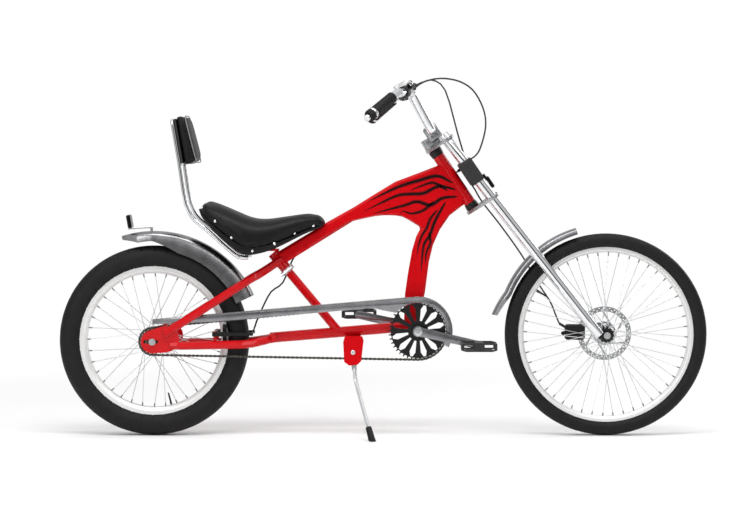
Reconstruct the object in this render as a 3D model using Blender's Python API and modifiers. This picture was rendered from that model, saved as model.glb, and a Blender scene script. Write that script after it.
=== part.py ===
"""Chopper-style cruiser bicycle, as separate named sub-parts.

Units are metres. +X is forward, +Y is the rider's left, +Z is up. The drive side is -Y.
The origin lies on the ground, under the middle of the bicycle. Points in the side view
are (x, z) pairs.
"""

import math

import bmesh
import bpy
from mathutils import Matrix, Vector

# Wheels
WHEELBASE = 1.333
REAR_TYRE_WIDTH = 0.076
REAR_RIM_RADIUS = 0.220
REAR_RIM_WIDTH = 0.046
REAR_RIM_DEPTH = 0.022
REAR_TYRE_HEIGHT = 0.060
REAR_TYRE_RADIUS = REAR_RIM_RADIUS + REAR_TYRE_HEIGHT
REAR_TREAD_FLAT = 0.040
REAR_SPOKES = 36
FRONT_TYRE_WIDTH = 0.052
FRONT_RIM_RADIUS = 0.258
FRONT_RIM_WIDTH = 0.030
FRONT_RIM_DEPTH = 0.016
FRONT_TYRE_HEIGHT = 0.040
FRONT_TYRE_RADIUS = FRONT_RIM_RADIUS + FRONT_TYRE_HEIGHT
FRONT_TREAD_FLAT = 0.030
FRONT_SPOKES = 48
RIM_WALL = 0.0025
BEAD_HEIGHT = 0.007
SPOKE_RADIUS = 0.0011
SPOKE_CROSSINGS = 3
WHEEL_SEGMENTS = 32
VALVE_RADIUS = 0.0032
VALVE_LENGTH = 0.036
CLEAR = 0.0003

# Hubs and axles
REAR_DROPOUT_GAP = 0.135
REAR_AXLE_RADIUS = 0.005
REAR_HUB_RADIUS = 0.018
REAR_FLANGE_RADIUS = 0.030
REAR_FLANGE_LEFT = 0.034
REAR_FLANGE_RIGHT = 0.026
FRONT_DROPOUT_GAP = 0.100
FRONT_AXLE_RADIUS = 0.0045
FRONT_HUB_RADIUS = 0.013
FRONT_FLANGE_RADIUS = 0.023
FRONT_FLANGE_LEFT = 0.024
FRONT_FLANGE_RIGHT = 0.030
FLANGE_THICKNESS = 0.0035
NUT_RADIUS = 0.0105
NUT_HEIGHT = 0.009

# Disc brake
ROTOR_RADIUS = 0.080
ROTOR_THICKNESS = 0.0024
ROTOR_TRACK = 0.015
ROTOR_ARMS = 6
ROTOR_LATERAL = 0.041
ROTOR_CARRIER_RADIUS = 0.034

# Chain drive
CHAIN_PITCH = 0.0127
CHAINRING_TEETH = 42
SPROCKET_TEETH = 20
CHAIN_CENTRES = 0.780
CHAIN_LINE = 0.050
CHAIN_HEIGHT = 0.0080
CHAIN_INNER_WIDTH = 0.0040
CHAIN_OUTER_WIDTH = 0.0080
ROLLER_RADIUS = 0.0038
CHAIN_STRIDE = 4
TOOTH_THICKNESS = 0.0024
CHAINRING_PETALS = 12
PETAL_INNER_RADIUS = 0.030
PETAL_OUTER_RADIUS = 0.077
PETAL_HALF_WIDTH = 0.0088

# Crank and pedals
BRACKET_HEIGHT = 0.311
BRACKET_SHELL_RADIUS = 0.0215
BRACKET_SHELL_WIDTH = 0.068
CRANK_LENGTH = 0.180
CRANK_ANGLE = math.radians(12.5)
CRANK_AXLE_RADIUS = 0.0085
CRANK_INSIDE = 0.070
CRANK_THICKNESS = 0.013
CRANK_BOSS_RADIUS = 0.0158
CRANK_EYE_RADIUS = 0.0120
PEDAL_GAP = 0.006
PEDAL_SPINDLE_RADIUS = 0.0054
PEDAL_BAR = 0.006
PEDAL_CORE = 0.0125
PEDAL_END_WALL = 0.010
PEDAL_LENGTH = 0.104
PEDAL_WIDTH = 0.088
PEDAL_HEIGHT = 0.026

# Frame tubes
HEAD_ANGLE = math.radians(34.0)
HEAD_TUBE_LENGTH = 0.166
HEAD_TUBE_RADIUS = 0.0175
HEAD_BORE_RADIUS = 0.0140
FORK_LENGTH = 0.7123
FORK_OFFSET = 0.1156
SPINE_HALF_THICKNESS = 0.0175
SPINE_EDGE = 0.0085
BOTTOM_TUBE_RADIUS = 0.0155
STAY_RADIUS = 0.0125
STAY_SPREAD = 0.061
STAY_SPREAD_AXLE = 0.0745
DROPOUT_THICKNESS = 0.006
DROPOUT_RADIUS = 0.034
SLOT_FRONT = 0.018
SLOT_BACK = 0.027
STRUT_RADIUS = 0.0127
SLEEVE_RADIUS = 0.0168
SLEEVE_LENGTH = 0.086
COLLAR_HEIGHT = 0.014
COLLAR_WALL = 0.0032

# Fork and steering
STEERER_RADIUS = 0.0125
CUP_RADIUS = 0.0205
CROWN_THICKNESS = 0.010
UPPER_CROWN = 0.027
LOWER_CROWN_GAP = 0.023
LOWER_CROWN = HEAD_TUBE_LENGTH + LOWER_CROWN_GAP
FORK_LEG_RADIUS = 0.015
FORK_LEG_SPREAD = 0.060
FORK_LEG_RAKE = math.radians(4.0)
FORK_LEG_OFFSET = 0.0467
FORK_LEG_RISE = 0.019
FRONT_DROPOUT_THICKNESS = 0.006
BAR_RADIUS = 0.0127
GRIP_RADIUS = 0.0162
GRIP_LENGTH = 0.132
GRIP_WALL = 0.004

# Fenders
REAR_FENDER_GAP = 0.0425
REAR_FENDER_HALF_WIDTH = 0.0455
FRONT_FENDER_GAP = 0.025
FRONT_FENDER_HALF_WIDTH = 0.034
FENDER_THICKNESS = 0.0018

# Seat and backrest
SISSY_TUBE_RADIUS = 0.006
SISSY_HALF_WIDTH = 0.085
PAD_HEIGHT = 0.147
PAD_LOW_THICKNESS = 0.046
PAD_TOP_THICKNESS = 0.031
PAD_HALF_WIDTH = 0.100

# Cables
CABLE_RADIUS = 0.0025


def hex_colour(code):
    """Linear colour of an sRGB hex code."""
    channels = []
    for start in (0, 2, 4):
        value = int(code[start : start + 2], 16) / 255
        channels.append(value / 12.92 if value <= 0.04045 else ((value + 0.055) / 1.055) ** 2.4)
    return (*channels, 1.0)


for thing in list(bpy.data.objects):
    bpy.data.objects.remove(thing, do_unlink=True)

bicycle = bpy.data.collections.new("chopper_bicycle")
helpers = bpy.data.collections.new("cutters_and_joiners")
bpy.context.scene.collection.children.link(bicycle)
bpy.context.scene.collection.children.link(helpers)


def finish(name, code, roughness, metallic):
    """A plain surface finish."""
    made = bpy.data.materials.new(name)
    made.use_nodes = True
    shader = made.node_tree.nodes["Principled BSDF"]
    shader.inputs["Base Color"].default_value = hex_colour(code)
    shader.inputs["Roughness"].default_value = roughness
    shader.inputs["Metallic"].default_value = metallic
    made.diffuse_color = hex_colour(code)
    return made


RED_PAINT = ("C4000F", 0.2, 0.0)
CHROME = ("D9DBDD", 0.12, 1.0)
DULL_CHROME = ("8E8E8E", 0.3, 1.0)
SILVER = ("B9BABB", 0.35, 1.0)
RIM_SILVER = ("E4E4E2", 0.4, 0.6)
BLACK_METAL = ("141414", 0.4, 0.5)
BLACK_PLASTIC = ("1B1B1B", 0.5, 0.0)
RUBBER = ("222222", 0.8, 0.0)
VINYL = ("202020", 0.45, 0.0)
CHAIN_STEEL = ("4A4640", 0.4, 1.0)


def add(obj, name, look):
    """Name a finished piece, give it its own material and put it with the bicycle."""
    obj.name = name
    obj.data.name = name
    obj.data.materials.clear()
    obj.data.materials.append(finish(name, *look))
    for home in list(obj.users_collection):
        home.objects.unlink(obj)
    bicycle.objects.link(obj)
    if obj.type == "MESH":
        obj.data.shade_smooth()
        obj.data.set_sharp_from_angle(angle=math.radians(40))
    return obj


def helper(obj):
    """Keep a cutter or a joined shape out of sight."""
    obj.hide_render = True
    obj.display_type = "WIRE"
    return obj


def mesh_object(mesh, matrix=None):
    obj = bpy.data.objects.new(mesh.name, mesh)
    helpers.objects.link(obj)
    if matrix is not None:
        obj.matrix_world = matrix
    return obj


def boolean(target, other, operation):
    """Add a Boolean with another object, which then serves only as a helper."""
    step = target.modifiers.new(operation.lower(), "BOOLEAN")
    step.operation = operation
    step.solver = "EXACT"
    step.object = helper(other)
    return target


def join(target, *others):
    for other in others:
        boolean(target, other, "UNION")
    return target


def cut(target, *others):
    for other in others:
        boolean(target, other, "DIFFERENCE")
    return target


def baked(obj):
    """The object as a plain mesh with its caps welded, in place of the original."""
    bpy.context.view_layer.update()
    graph = bpy.context.evaluated_depsgraph_get()
    mesh = bpy.data.meshes.new_from_object(obj.evaluated_get(graph))
    shape = bmesh.new()
    shape.from_mesh(mesh)
    bmesh.ops.remove_doubles(shape, verts=shape.verts, dist=0.00001)
    bmesh.ops.recalc_face_normals(shape, faces=shape.faces)
    shape.to_mesh(mesh)
    shape.free()
    made = mesh_object(mesh, obj.matrix_world.copy())
    bpy.data.objects.remove(obj, do_unlink=True)
    return made


def tube_curve(points, radius, sides=10, radii=None):
    """A round tube through points, as a curve with a bevel."""
    curve = bpy.data.curves.new("tube", "CURVE")
    curve.dimensions = "3D"
    curve.bevel_depth = radius
    curve.bevel_resolution = (sides - 4) // 2
    curve.use_fill_caps = True
    line = curve.splines.new("POLY")
    line.points.add(len(points) - 1)
    for index, point in enumerate(points):
        line.points[index].co = (*point, 1.0)
        line.points[index].radius = radii[index] if radii else 1.0
    obj = bpy.data.objects.new("tube", curve)
    helpers.objects.link(obj)
    return obj


def tube(points, radius, sides=10, radii=None):
    """A round tube as a mesh that can be cut or joined."""
    return baked(tube_curve(points, radius, sides, radii))


def smooth(points, steps):
    """Points along a smooth curve through the given ones, with steps per span."""
    ends = [points[0], *points, points[-1]]
    made = []
    for a, b, c, d in zip(ends, ends[1:], ends[2:], ends[3:]):
        for step in range(steps):
            t = step / steps
            made.append(
                tuple(
                    q + t * ((r - p) + t * ((2 * p - 5 * q + 4 * r - s) + t * (3 * q - p - 3 * r + s))) / 2
                    for p, q, r, s in zip(a, b, c, d)
                )
            )
    made.append(tuple(points[-1]))
    return made


def arc(centre, radius, start, end, steps):
    """Points on an arc in the side view, angles in radians."""
    made = []
    for step in range(steps + 1):
        angle = start + (end - start) * step / steps
        made.append((centre[0] + radius * math.cos(angle), centre[1] + radius * math.sin(angle)))
    return made


def hull_of_circles(circles, steps=16):
    """The outline of a band stretched round circles, each ((x, y), radius)."""
    cloud = []
    for centre, radius in circles:
        cloud += arc(centre, radius, 0.0, math.tau * (steps - 1) / steps, steps - 1)
    cloud.sort()

    def half(points):
        chain = []
        for point in points:
            while len(chain) > 1:
                (ax, ay), (bx, by) = chain[-2], chain[-1]
                if (bx - ax) * (point[1] - ay) - (by - ay) * (point[0] - ax) > 1e-10:
                    break
                chain.pop()
            chain.append(point)
        return chain[:-1]

    return half(cloud) + half(cloud[::-1])


def outline_solid(outline, thickness, matrix, holes=(), edge=0.0, segments=2):
    """A flat outline in the local XY plane, extruded both ways along local Z."""
    curve = bpy.data.curves.new("outline", "CURVE")
    curve.dimensions = "2D"
    curve.fill_mode = "BOTH"
    curve.extrude = thickness / 2
    for loop in (outline, *holes):
        line = curve.splines.new("POLY")
        line.points.add(len(loop) - 1)
        for index, (x, y) in enumerate(loop):
            line.points[index].co = (x, y, 0.0, 1.0)
        line.use_cyclic_u = True
    obj = bpy.data.objects.new("outline", curve)
    helpers.objects.link(obj)
    obj.matrix_world = matrix
    made = baked(obj)
    if edge:
        rounding = made.modifiers.new("rounding", "BEVEL")
        rounding.width = edge
        rounding.segments = segments
        rounding.limit_method = "ANGLE"
        rounding.angle_limit = math.radians(50)
    return made


def side_view(lateral):
    """A plane facing sideways at this y, whose local X and Y are world X and Z."""
    return Matrix.Translation((0.0, lateral, 0.0)) @ Matrix.Rotation(math.pi / 2, 4, "X")


def lathe(profile, steps, matrix, closed=False):
    """A turned shape from a (radius, height) profile, about local Z."""
    area = 0.0
    for (ax, ay), (bx, by) in zip(profile, profile[1:] + profile[:1]):
        area += ax * by - bx * ay
    points = profile if area < 0 else profile[::-1]
    mesh = bpy.data.meshes.new("turned")
    count = len(points)
    edges = [(index, index + 1) for index in range(count - 1)]
    if closed:
        edges.append((count - 1, 0))
    mesh.from_pydata([(r, 0.0, h) for r, h in points], edges, [])
    obj = mesh_object(mesh, matrix)
    turn = obj.modifiers.new("turn", "SCREW")
    turn.axis = "Z"
    turn.steps = steps
    turn.render_steps = steps
    turn.use_merge_vertices = True
    turn.merge_threshold = 0.00001
    return obj


def between(start, end):
    """A frame halfway between two points, its Z along the line from the first to the second."""
    turn = (end - start).to_track_quat("Z", "Y")
    return Matrix.Translation((start + end) / 2) @ turn.to_matrix().to_4x4()


def cylinder(start, end, radius, sides=12, end_radius=None):
    """A cylinder or cone between two points."""
    start = Vector(start)
    end = Vector(end)
    mesh = bpy.data.meshes.new("cylinder")
    shape = bmesh.new()
    bmesh.ops.create_cone(
        shape,
        cap_ends=True,
        segments=sides,
        radius1=radius,
        radius2=radius if end_radius is None else end_radius,
        depth=(end - start).length,
        matrix=between(start, end),
    )
    shape.to_mesh(mesh)
    shape.free()
    return mesh_object(mesh)


def block(centre, size, matrix=None, edge=0.0, segments=2):
    """A box given by its centre and size in the local frame."""
    mesh = bpy.data.meshes.new("block")
    shape = bmesh.new()
    bmesh.ops.create_cube(shape, size=1.0, matrix=Matrix.Translation(centre) @ Matrix.Diagonal((*size, 1.0)))
    shape.to_mesh(mesh)
    shape.free()
    made = mesh_object(mesh, matrix)
    if edge:
        rounding = made.modifiers.new("rounding", "BEVEL")
        rounding.width = edge
        rounding.segments = segments
    return made


def hole_radius(radius, sides):
    """Radius of a many-sided hole whose flats clear a round of this radius."""
    return (radius + CLEAR) / math.cos(math.pi / sides)


def shell(rows, thickness):
    """A sheet through rows of points, thickened inwards with Solidify."""
    mesh = bpy.data.meshes.new("sheet")
    width = len(rows[0])
    faces = []
    for i in range(len(rows) - 1):
        for j in range(width - 1):
            start = i * width + j
            faces.append((start, start + 1, start + width + 1, start + width))
    mesh.from_pydata([point for row in rows for point in row], [], faces)
    made = mesh_object(mesh)
    wall = made.modifiers.new("wall", "SOLIDIFY")
    wall.thickness = thickness
    wall.offset = -1.0
    wall.use_even_offset = True
    return made


def side_point(point, lateral):
    """A point of the side view, moved sideways."""
    return Vector((point[0], lateral, point[1]))


def part_way(start, end, share, rise=0.0):
    """A side view point at a share of the way between two others, lifted off the line."""
    dx = end[0] - start[0]
    dz = end[1] - start[1]
    length = math.hypot(dx, dz)
    return (start[0] + share * dx - rise * dz / length, start[1] + share * dz + rise * dx / length)


def parent_to(name, position, objects):
    """Hang pieces on an empty that stands on their joint's axis."""
    axis = bpy.data.objects.new(name, None)
    axis.empty_display_size = 0.03
    bicycle.objects.link(axis)
    axis.location = position
    bpy.context.view_layer.update()
    for piece in objects:
        piece.parent = axis
        piece.matrix_parent_inverse = axis.matrix_world.inverted()
    return axis


# Places that the rest is hung on: the chain sets how far the crank stands from the rear axle
def chain_length(centres):
    """Length of the chain's path round both toothed wheels."""
    large = CHAINRING_TEETH * CHAIN_PITCH / math.tau
    small = SPROCKET_TEETH * CHAIN_PITCH / math.tau
    lean = math.asin((large - small) / centres)
    return 2 * centres * math.cos(lean) + large * (math.pi + 2 * lean) + small * (math.pi - 2 * lean)


CHAIN_LINKS = 2 * round(chain_length(CHAIN_CENTRES) / CHAIN_PITCH / 2)
low_centres = CHAIN_CENTRES - CHAIN_PITCH
high_centres = CHAIN_CENTRES + CHAIN_PITCH
for _ in range(50):
    tight_centres = (low_centres + high_centres) / 2
    if chain_length(tight_centres) < CHAIN_LINKS * CHAIN_PITCH:
        low_centres = tight_centres
    else:
        high_centres = tight_centres

OVERALL_LENGTH = WHEELBASE + REAR_TYRE_RADIUS + FRONT_TYRE_RADIUS
REAR_AXLE = (REAR_TYRE_RADIUS - OVERALL_LENGTH / 2, REAR_TYRE_RADIUS)
FRONT_AXLE = (OVERALL_LENGTH / 2 - FRONT_TYRE_RADIUS, FRONT_TYRE_RADIUS)
BRACKET = (
    REAR_AXLE[0] + math.sqrt(tight_centres**2 - (BRACKET_HEIGHT - REAR_AXLE[1]) ** 2),
    BRACKET_HEIGHT,
)
AXIS_UP = Vector((-math.sin(HEAD_ANGLE), 0.0, math.cos(HEAD_ANGLE)))
AXIS_FORWARD = Vector((math.cos(HEAD_ANGLE), 0.0, math.sin(HEAD_ANGLE)))
HEAD_TOP = side_point(FRONT_AXLE, 0.0) + AXIS_UP * FORK_LENGTH - AXIS_FORWARD * FORK_OFFSET
STEERING = Matrix.Translation(HEAD_TOP) @ Matrix.Rotation(-HEAD_ANGLE, 4, "Y")
WHEEL_TURN = Matrix.Rotation(-math.pi / 2, 4, "X")


def steering_point(forward, lateral, up):
    """A point measured from the top of the head tube, along and across the steering axis."""
    return STEERING @ Vector((forward, lateral, up))


def flat(point):
    return (point[0], point[2])


HEAD_UPPER = flat(steering_point(0.0, 0.0, 0.0))
HEAD_LOWER = flat(steering_point(0.0, 0.0, -HEAD_TUBE_LENGTH))
SEAT_KNOT = (REAR_AXLE[0] + 0.3718, REAR_AXLE[1] + 0.243)
STRUT_FOOT = (SEAT_KNOT[0] + 0.1563, REAR_AXLE[1] + 0.0454)
YOKE = (REAR_AXLE[0] + 0.3423, REAR_AXLE[1] + 0.007)
FACET_TURN = Matrix.Rotation(math.pi / WHEEL_SEGMENTS, 4, "Z")
REAR_WHEEL = Matrix.Translation(side_point(REAR_AXLE, 0.0)) @ WHEEL_TURN @ FACET_TURN
FRONT_WHEEL = Matrix.Translation(side_point(FRONT_AXLE, 0.0)) @ WHEEL_TURN @ FACET_TURN
CRANK_CENTRE = Matrix.Translation(side_point(BRACKET, 0.0)) @ WHEEL_TURN
FACET_GROWTH = 1 / math.cos(math.pi / WHEEL_SEGMENTS)


# Rims, tyres, valves and spoked hubs
def wheel_ring(profile, frame):
    """A closed profile turned round a wheel, its facets as far out as the profile says."""
    grown = [(radius * FACET_GROWTH, height) for radius, height in profile]
    return lathe(grown, WHEEL_SEGMENTS, frame, closed=True)


def rim(name, radius, width, depth, frame):
    """A box-section rim with a brake track on each side wall."""
    half = width / 2
    bed = radius - BEAD_HEIGHT
    inner = radius - depth
    profile = [
        (radius, half),
        (inner, half * 0.62),
        (inner, -half * 0.62),
        (radius, -half),
        (radius, RIM_WALL - half),
        (bed, RIM_WALL - half),
        (bed, half - RIM_WALL),
        (radius, half - RIM_WALL),
    ]
    return add(wheel_ring(profile, frame), name, RIM_SILVER)


def tyre(name, radius, width, tread_flat, rim_radius, rim_width, frame):
    """A tyre whose beads sit between the rim's flanges, with a flat tread strip."""
    bead = rim_width / 2 - RIM_WALL - CLEAR
    low = rim_radius - BEAD_HEIGHT + CLEAR
    height = radius - rim_radius
    half = width / 2
    outer = [
        (low, bead),
        (rim_radius + 0.0012, bead),
        (rim_radius + height * 0.17, half * 0.84),
        (rim_radius + height * 0.50, half),
        (rim_radius + height * 0.84, half * 0.78),
        (radius, tread_flat / 2),
    ]
    profile = outer + [(r, -h) for r, h in reversed(outer)]
    return add(wheel_ring(profile, frame), name, RUBBER)


def spokes(count, left, right, flange_radius, rim_bed):
    """All spokes of a wheel, laced tangentially from both flanges to the rim."""
    mesh = bpy.data.meshes.new("spokes")
    shape = bmesh.new()
    per_flange = count // 2
    spacing = math.tau / per_flange
    reach = rim_bed - SPOKE_RADIUS * 0.6
    for side, offset in ((1, left), (-1, -right)):
        for index in range(per_flange):
            sense = 1 if index % 2 else -1
            hub_angle = spacing * (index + 0.25 * side)
            rim_angle = hub_angle + sense * SPOKE_CROSSINGS * spacing
            face = offset + side * sense * 0.0019
            seat = side * 0.003 + side * sense * 0.0009
            start = Vector((flange_radius * math.cos(hub_angle), flange_radius * math.sin(hub_angle), face))
            end = Vector((reach * math.cos(rim_angle), reach * math.sin(rim_angle), seat))
            bmesh.ops.create_cone(
                shape,
                cap_ends=True,
                segments=3,
                radius1=SPOKE_RADIUS,
                radius2=SPOKE_RADIUS,
                depth=(end - start).length,
                matrix=between(start, end),
            )
    shape.to_mesh(mesh)
    shape.free()
    return mesh


def hub(name, body_profile, bore, steps, frame, laced):
    """A turned hub shell with its spokes, bored for the axle."""
    made = lathe(body_profile, steps, frame)
    join(made, mesh_object(laced, frame))
    length = max(height for _, height in body_profile) + 0.01
    wide = hole_radius(bore, steps)
    hole = lathe([(0.0, length), (wide, length), (wide, -length), (0.0, -length)], steps, frame)
    cut(made, hole)
    return add(made, name, SILVER)


def valve(name, rim_bed, angle, frame):
    """A tyre valve that stands in from the rim's bed."""
    outside = rim_bed - VALVE_RADIUS * 0.2
    direction = Vector((math.cos(angle), math.sin(angle), 0.0))
    inside = outside - VALVE_LENGTH
    made = cylinder(direction * outside, direction * inside, VALVE_RADIUS, 8, VALVE_RADIUS * 0.7)
    made.matrix_world = frame
    return add(made, name, RUBBER)


rear_rim = rim("rear_rim", REAR_RIM_RADIUS, REAR_RIM_WIDTH, REAR_RIM_DEPTH, REAR_WHEEL)
rear_tyre = tyre(
    "rear_tyre",
    REAR_TYRE_RADIUS,
    REAR_TYRE_WIDTH,
    REAR_TREAD_FLAT,
    REAR_RIM_RADIUS,
    REAR_RIM_WIDTH,
    REAR_WHEEL,
)
front_rim = rim("front_rim", FRONT_RIM_RADIUS, FRONT_RIM_WIDTH, FRONT_RIM_DEPTH, FRONT_WHEEL)
front_tyre = tyre(
    "front_tyre",
    FRONT_TYRE_RADIUS,
    FRONT_TYRE_WIDTH,
    FRONT_TREAD_FLAT,
    FRONT_RIM_RADIUS,
    FRONT_RIM_WIDTH,
    FRONT_WHEEL,
)
rear_valve = valve("rear_valve", REAR_RIM_RADIUS - REAR_RIM_DEPTH, math.radians(70), REAR_WHEEL)
front_valve = valve("front_valve", FRONT_RIM_RADIUS - FRONT_RIM_DEPTH, math.radians(207), FRONT_WHEEL)

REAR_SPOKE_REACH = REAR_RIM_RADIUS - REAR_RIM_DEPTH
FRONT_SPOKE_REACH = FRONT_RIM_RADIUS - FRONT_RIM_DEPTH
REAR_HUB_LEFT = 0.050
REAR_HUB_RIGHT = 0.038
FREEWHEEL_RADIUS = 0.024
rear_hub_profile = [
    (0.0, REAR_HUB_LEFT),
    (0.013, REAR_HUB_LEFT),
    (REAR_HUB_RADIUS, REAR_FLANGE_LEFT + FLANGE_THICKNESS),
    (REAR_FLANGE_RADIUS + 0.004, REAR_FLANGE_LEFT + FLANGE_THICKNESS / 2),
    (REAR_FLANGE_RADIUS + 0.004, REAR_FLANGE_LEFT - FLANGE_THICKNESS / 2),
    (REAR_HUB_RADIUS, REAR_FLANGE_LEFT - FLANGE_THICKNESS),
    (REAR_HUB_RADIUS, FLANGE_THICKNESS - REAR_FLANGE_RIGHT),
    (REAR_FLANGE_RADIUS + 0.004, FLANGE_THICKNESS / 2 - REAR_FLANGE_RIGHT),
    (REAR_FLANGE_RADIUS + 0.004, -FLANGE_THICKNESS / 2 - REAR_FLANGE_RIGHT),
    (REAR_HUB_RADIUS, -FLANGE_THICKNESS - REAR_FLANGE_RIGHT),
    (0.015, -REAR_HUB_RIGHT),
    (0.0, -REAR_HUB_RIGHT),
]
rear_hub = hub(
    "rear_hub_and_spokes",
    rear_hub_profile,
    REAR_AXLE_RADIUS,
    12,
    REAR_WHEEL,
    spokes(REAR_SPOKES, REAR_FLANGE_LEFT, REAR_FLANGE_RIGHT, REAR_FLANGE_RADIUS, REAR_SPOKE_REACH),
)

ROTOR_SEAT = ROTOR_LATERAL - ROTOR_THICKNESS / 2 - CLEAR
FRONT_HUB_END = 0.038
front_hub_profile = [
    (0.0, ROTOR_LATERAL + 0.005),
    (0.0105, ROTOR_LATERAL + 0.005),
    (0.0105, ROTOR_SEAT),
    (0.021, ROTOR_SEAT),
    (0.021, FRONT_FLANGE_LEFT + 0.007),
    (FRONT_HUB_RADIUS, FRONT_FLANGE_LEFT + 0.004),
    (FRONT_FLANGE_RADIUS + 0.003, FRONT_FLANGE_LEFT + FLANGE_THICKNESS / 2),
    (FRONT_FLANGE_RADIUS + 0.003, FRONT_FLANGE_LEFT - FLANGE_THICKNESS / 2),
    (FRONT_HUB_RADIUS, FRONT_FLANGE_LEFT - FLANGE_THICKNESS),
    (FRONT_HUB_RADIUS, FLANGE_THICKNESS - FRONT_FLANGE_RIGHT),
    (FRONT_FLANGE_RADIUS + 0.003, FLANGE_THICKNESS / 2 - FRONT_FLANGE_RIGHT),
    (FRONT_FLANGE_RADIUS + 0.003, -FLANGE_THICKNESS / 2 - FRONT_FLANGE_RIGHT),
    (FRONT_HUB_RADIUS, -FLANGE_THICKNESS - FRONT_FLANGE_RIGHT),
    (0.011, -FRONT_HUB_END),
    (0.0, -FRONT_HUB_END),
]
front_hub = hub(
    "front_hub_and_spokes",
    front_hub_profile,
    FRONT_AXLE_RADIUS,
    12,
    FRONT_WHEEL,
    spokes(FRONT_SPOKES, FRONT_FLANGE_LEFT, FRONT_FLANGE_RIGHT, FRONT_FLANGE_RADIUS, FRONT_SPOKE_REACH),
)

# Axles with their cones, locknuts and outer nuts
def axle(name, radius, gap, plate, left_end, right_end, frame):
    """A threaded axle: cones out to the dropouts, then the nuts outside them."""
    inner = gap / 2 - CLEAR
    outer = gap / 2 + plate + CLEAR
    nut = outer + NUT_HEIGHT
    tip = nut + 0.006
    cone = radius + 0.0035
    profile = [
        (0.0, tip),
        (radius, tip),
        (radius, nut),
        (NUT_RADIUS, nut),
        (NUT_RADIUS, outer),
        (radius, outer),
        (radius, inner),
        (cone, inner),
        (cone, left_end),
        (radius, left_end),
        (radius, -right_end),
        (cone, -right_end),
        (cone, -inner),
        (radius, -inner),
        (radius, -outer),
        (NUT_RADIUS, -outer),
        (NUT_RADIUS, -nut),
        (radius, -nut),
        (radius, -tip),
        (0.0, -tip),
    ]
    return add(lathe(profile, 8, frame), name, SILVER)


SPROCKET_HUB_END = 0.0585
rear_axle = axle(
    "rear_axle_and_nuts",
    REAR_AXLE_RADIUS,
    REAR_DROPOUT_GAP,
    DROPOUT_THICKNESS,
    REAR_HUB_LEFT + CLEAR,
    SPROCKET_HUB_END + CLEAR,
    REAR_WHEEL,
)
front_axle = axle(
    "front_axle_and_nuts",
    FRONT_AXLE_RADIUS,
    FRONT_DROPOUT_GAP,
    FRONT_DROPOUT_THICKNESS,
    ROTOR_LATERAL + 0.005 + CLEAR,
    FRONT_HUB_END + CLEAR,
    FRONT_WHEEL,
)

# Disc rotor: a brake track on swept arms
ROTOR_MATRIX = FRONT_WHEEL @ Matrix.Translation((0.0, 0.0, ROTOR_LATERAL))
rotor_outline = arc((0.0, 0.0), ROTOR_RADIUS, 0.0, math.tau * 35 / 36, 35)
rotor_windows = []
window_step = math.tau / ROTOR_ARMS
for index in range(ROTOR_ARMS):
    turn = index * window_step
    swept = turn + window_step * 0.62
    outer_edge = arc((0.0, 0.0), ROTOR_RADIUS - ROTOR_TRACK, turn, turn + window_step * 0.80, 4)
    inner_edge = arc((0.0, 0.0), ROTOR_CARRIER_RADIUS, swept + window_step * 0.60, swept, 2)
    rotor_windows.append(outer_edge + inner_edge)
rotor_windows.append(arc((0.0, 0.0), 0.0112, 0.0, math.tau * 11 / 12, 11))
rotor = add(outline_solid(rotor_outline, ROTOR_THICKNESS, ROTOR_MATRIX, rotor_windows), "brake_rotor", SILVER)

# Chain drive: the chain's path, its toothed wheels and the linked chain
RING_RADIUS = CHAINRING_TEETH * CHAIN_PITCH / math.tau
COG_RADIUS = SPROCKET_TEETH * CHAIN_PITCH / math.tau
DRIVE_DIRECTION = math.atan2(BRACKET[1] - REAR_AXLE[1], BRACKET[0] - REAR_AXLE[0])
BELT_LEAN = math.asin((RING_RADIUS - COG_RADIUS) / tight_centres)
UPPER_NORMAL = DRIVE_DIRECTION + math.pi / 2 + BELT_LEAN
LOWER_NORMAL = DRIVE_DIRECTION - math.pi / 2 - BELT_LEAN
STRAIGHT_RUN = tight_centres * math.cos(BELT_LEAN)


def chain_place(distance):
    """Side view point, and outward normal angle, at a distance along the chain's path.

    The path starts where the upper run leaves the sprocket and goes forward to the chainring.
    """
    ring_wrap = RING_RADIUS * (math.pi + 2 * BELT_LEAN)
    if distance < STRAIGHT_RUN:
        start = part_way(REAR_AXLE, BRACKET, 0.0)
        along = UPPER_NORMAL - math.pi / 2
        x = start[0] + COG_RADIUS * math.cos(UPPER_NORMAL) + distance * math.cos(along)
        z = start[1] + COG_RADIUS * math.sin(UPPER_NORMAL) + distance * math.sin(along)
        return (x, z), UPPER_NORMAL
    distance -= STRAIGHT_RUN
    if distance < ring_wrap:
        angle = UPPER_NORMAL - distance / RING_RADIUS
        return arc(BRACKET, RING_RADIUS, angle, angle, 1)[0], angle
    distance -= ring_wrap
    if distance < STRAIGHT_RUN:
        along = LOWER_NORMAL - math.pi / 2
        x = BRACKET[0] + RING_RADIUS * math.cos(LOWER_NORMAL) + distance * math.cos(along)
        z = BRACKET[1] + RING_RADIUS * math.sin(LOWER_NORMAL) + distance * math.sin(along)
        return (x, z), LOWER_NORMAL
    distance -= STRAIGHT_RUN
    angle = LOWER_NORMAL - distance / COG_RADIUS
    return arc(REAR_AXLE, COG_RADIUS, angle, angle, 1)[0], angle


def toothed_outline(teeth, radius, first_gap):
    """Tooth tips between the chain's rollers, as a closed outline about the centre."""
    step = math.tau / teeth
    root = radius - ROLLER_RADIUS - 0.0006
    tip = radius + 0.0030
    outline = []
    for index in range(teeth):
        middle = first_gap + (index + 0.5) * step
        for reach, half_width in ((root, -0.0026), (tip, -0.0009), (tip, 0.0009), (root, 0.0026)):
            outline.append((reach, middle + half_width / reach))
    return [(reach * math.cos(angle), reach * math.sin(angle)) for reach, angle in outline]


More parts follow.
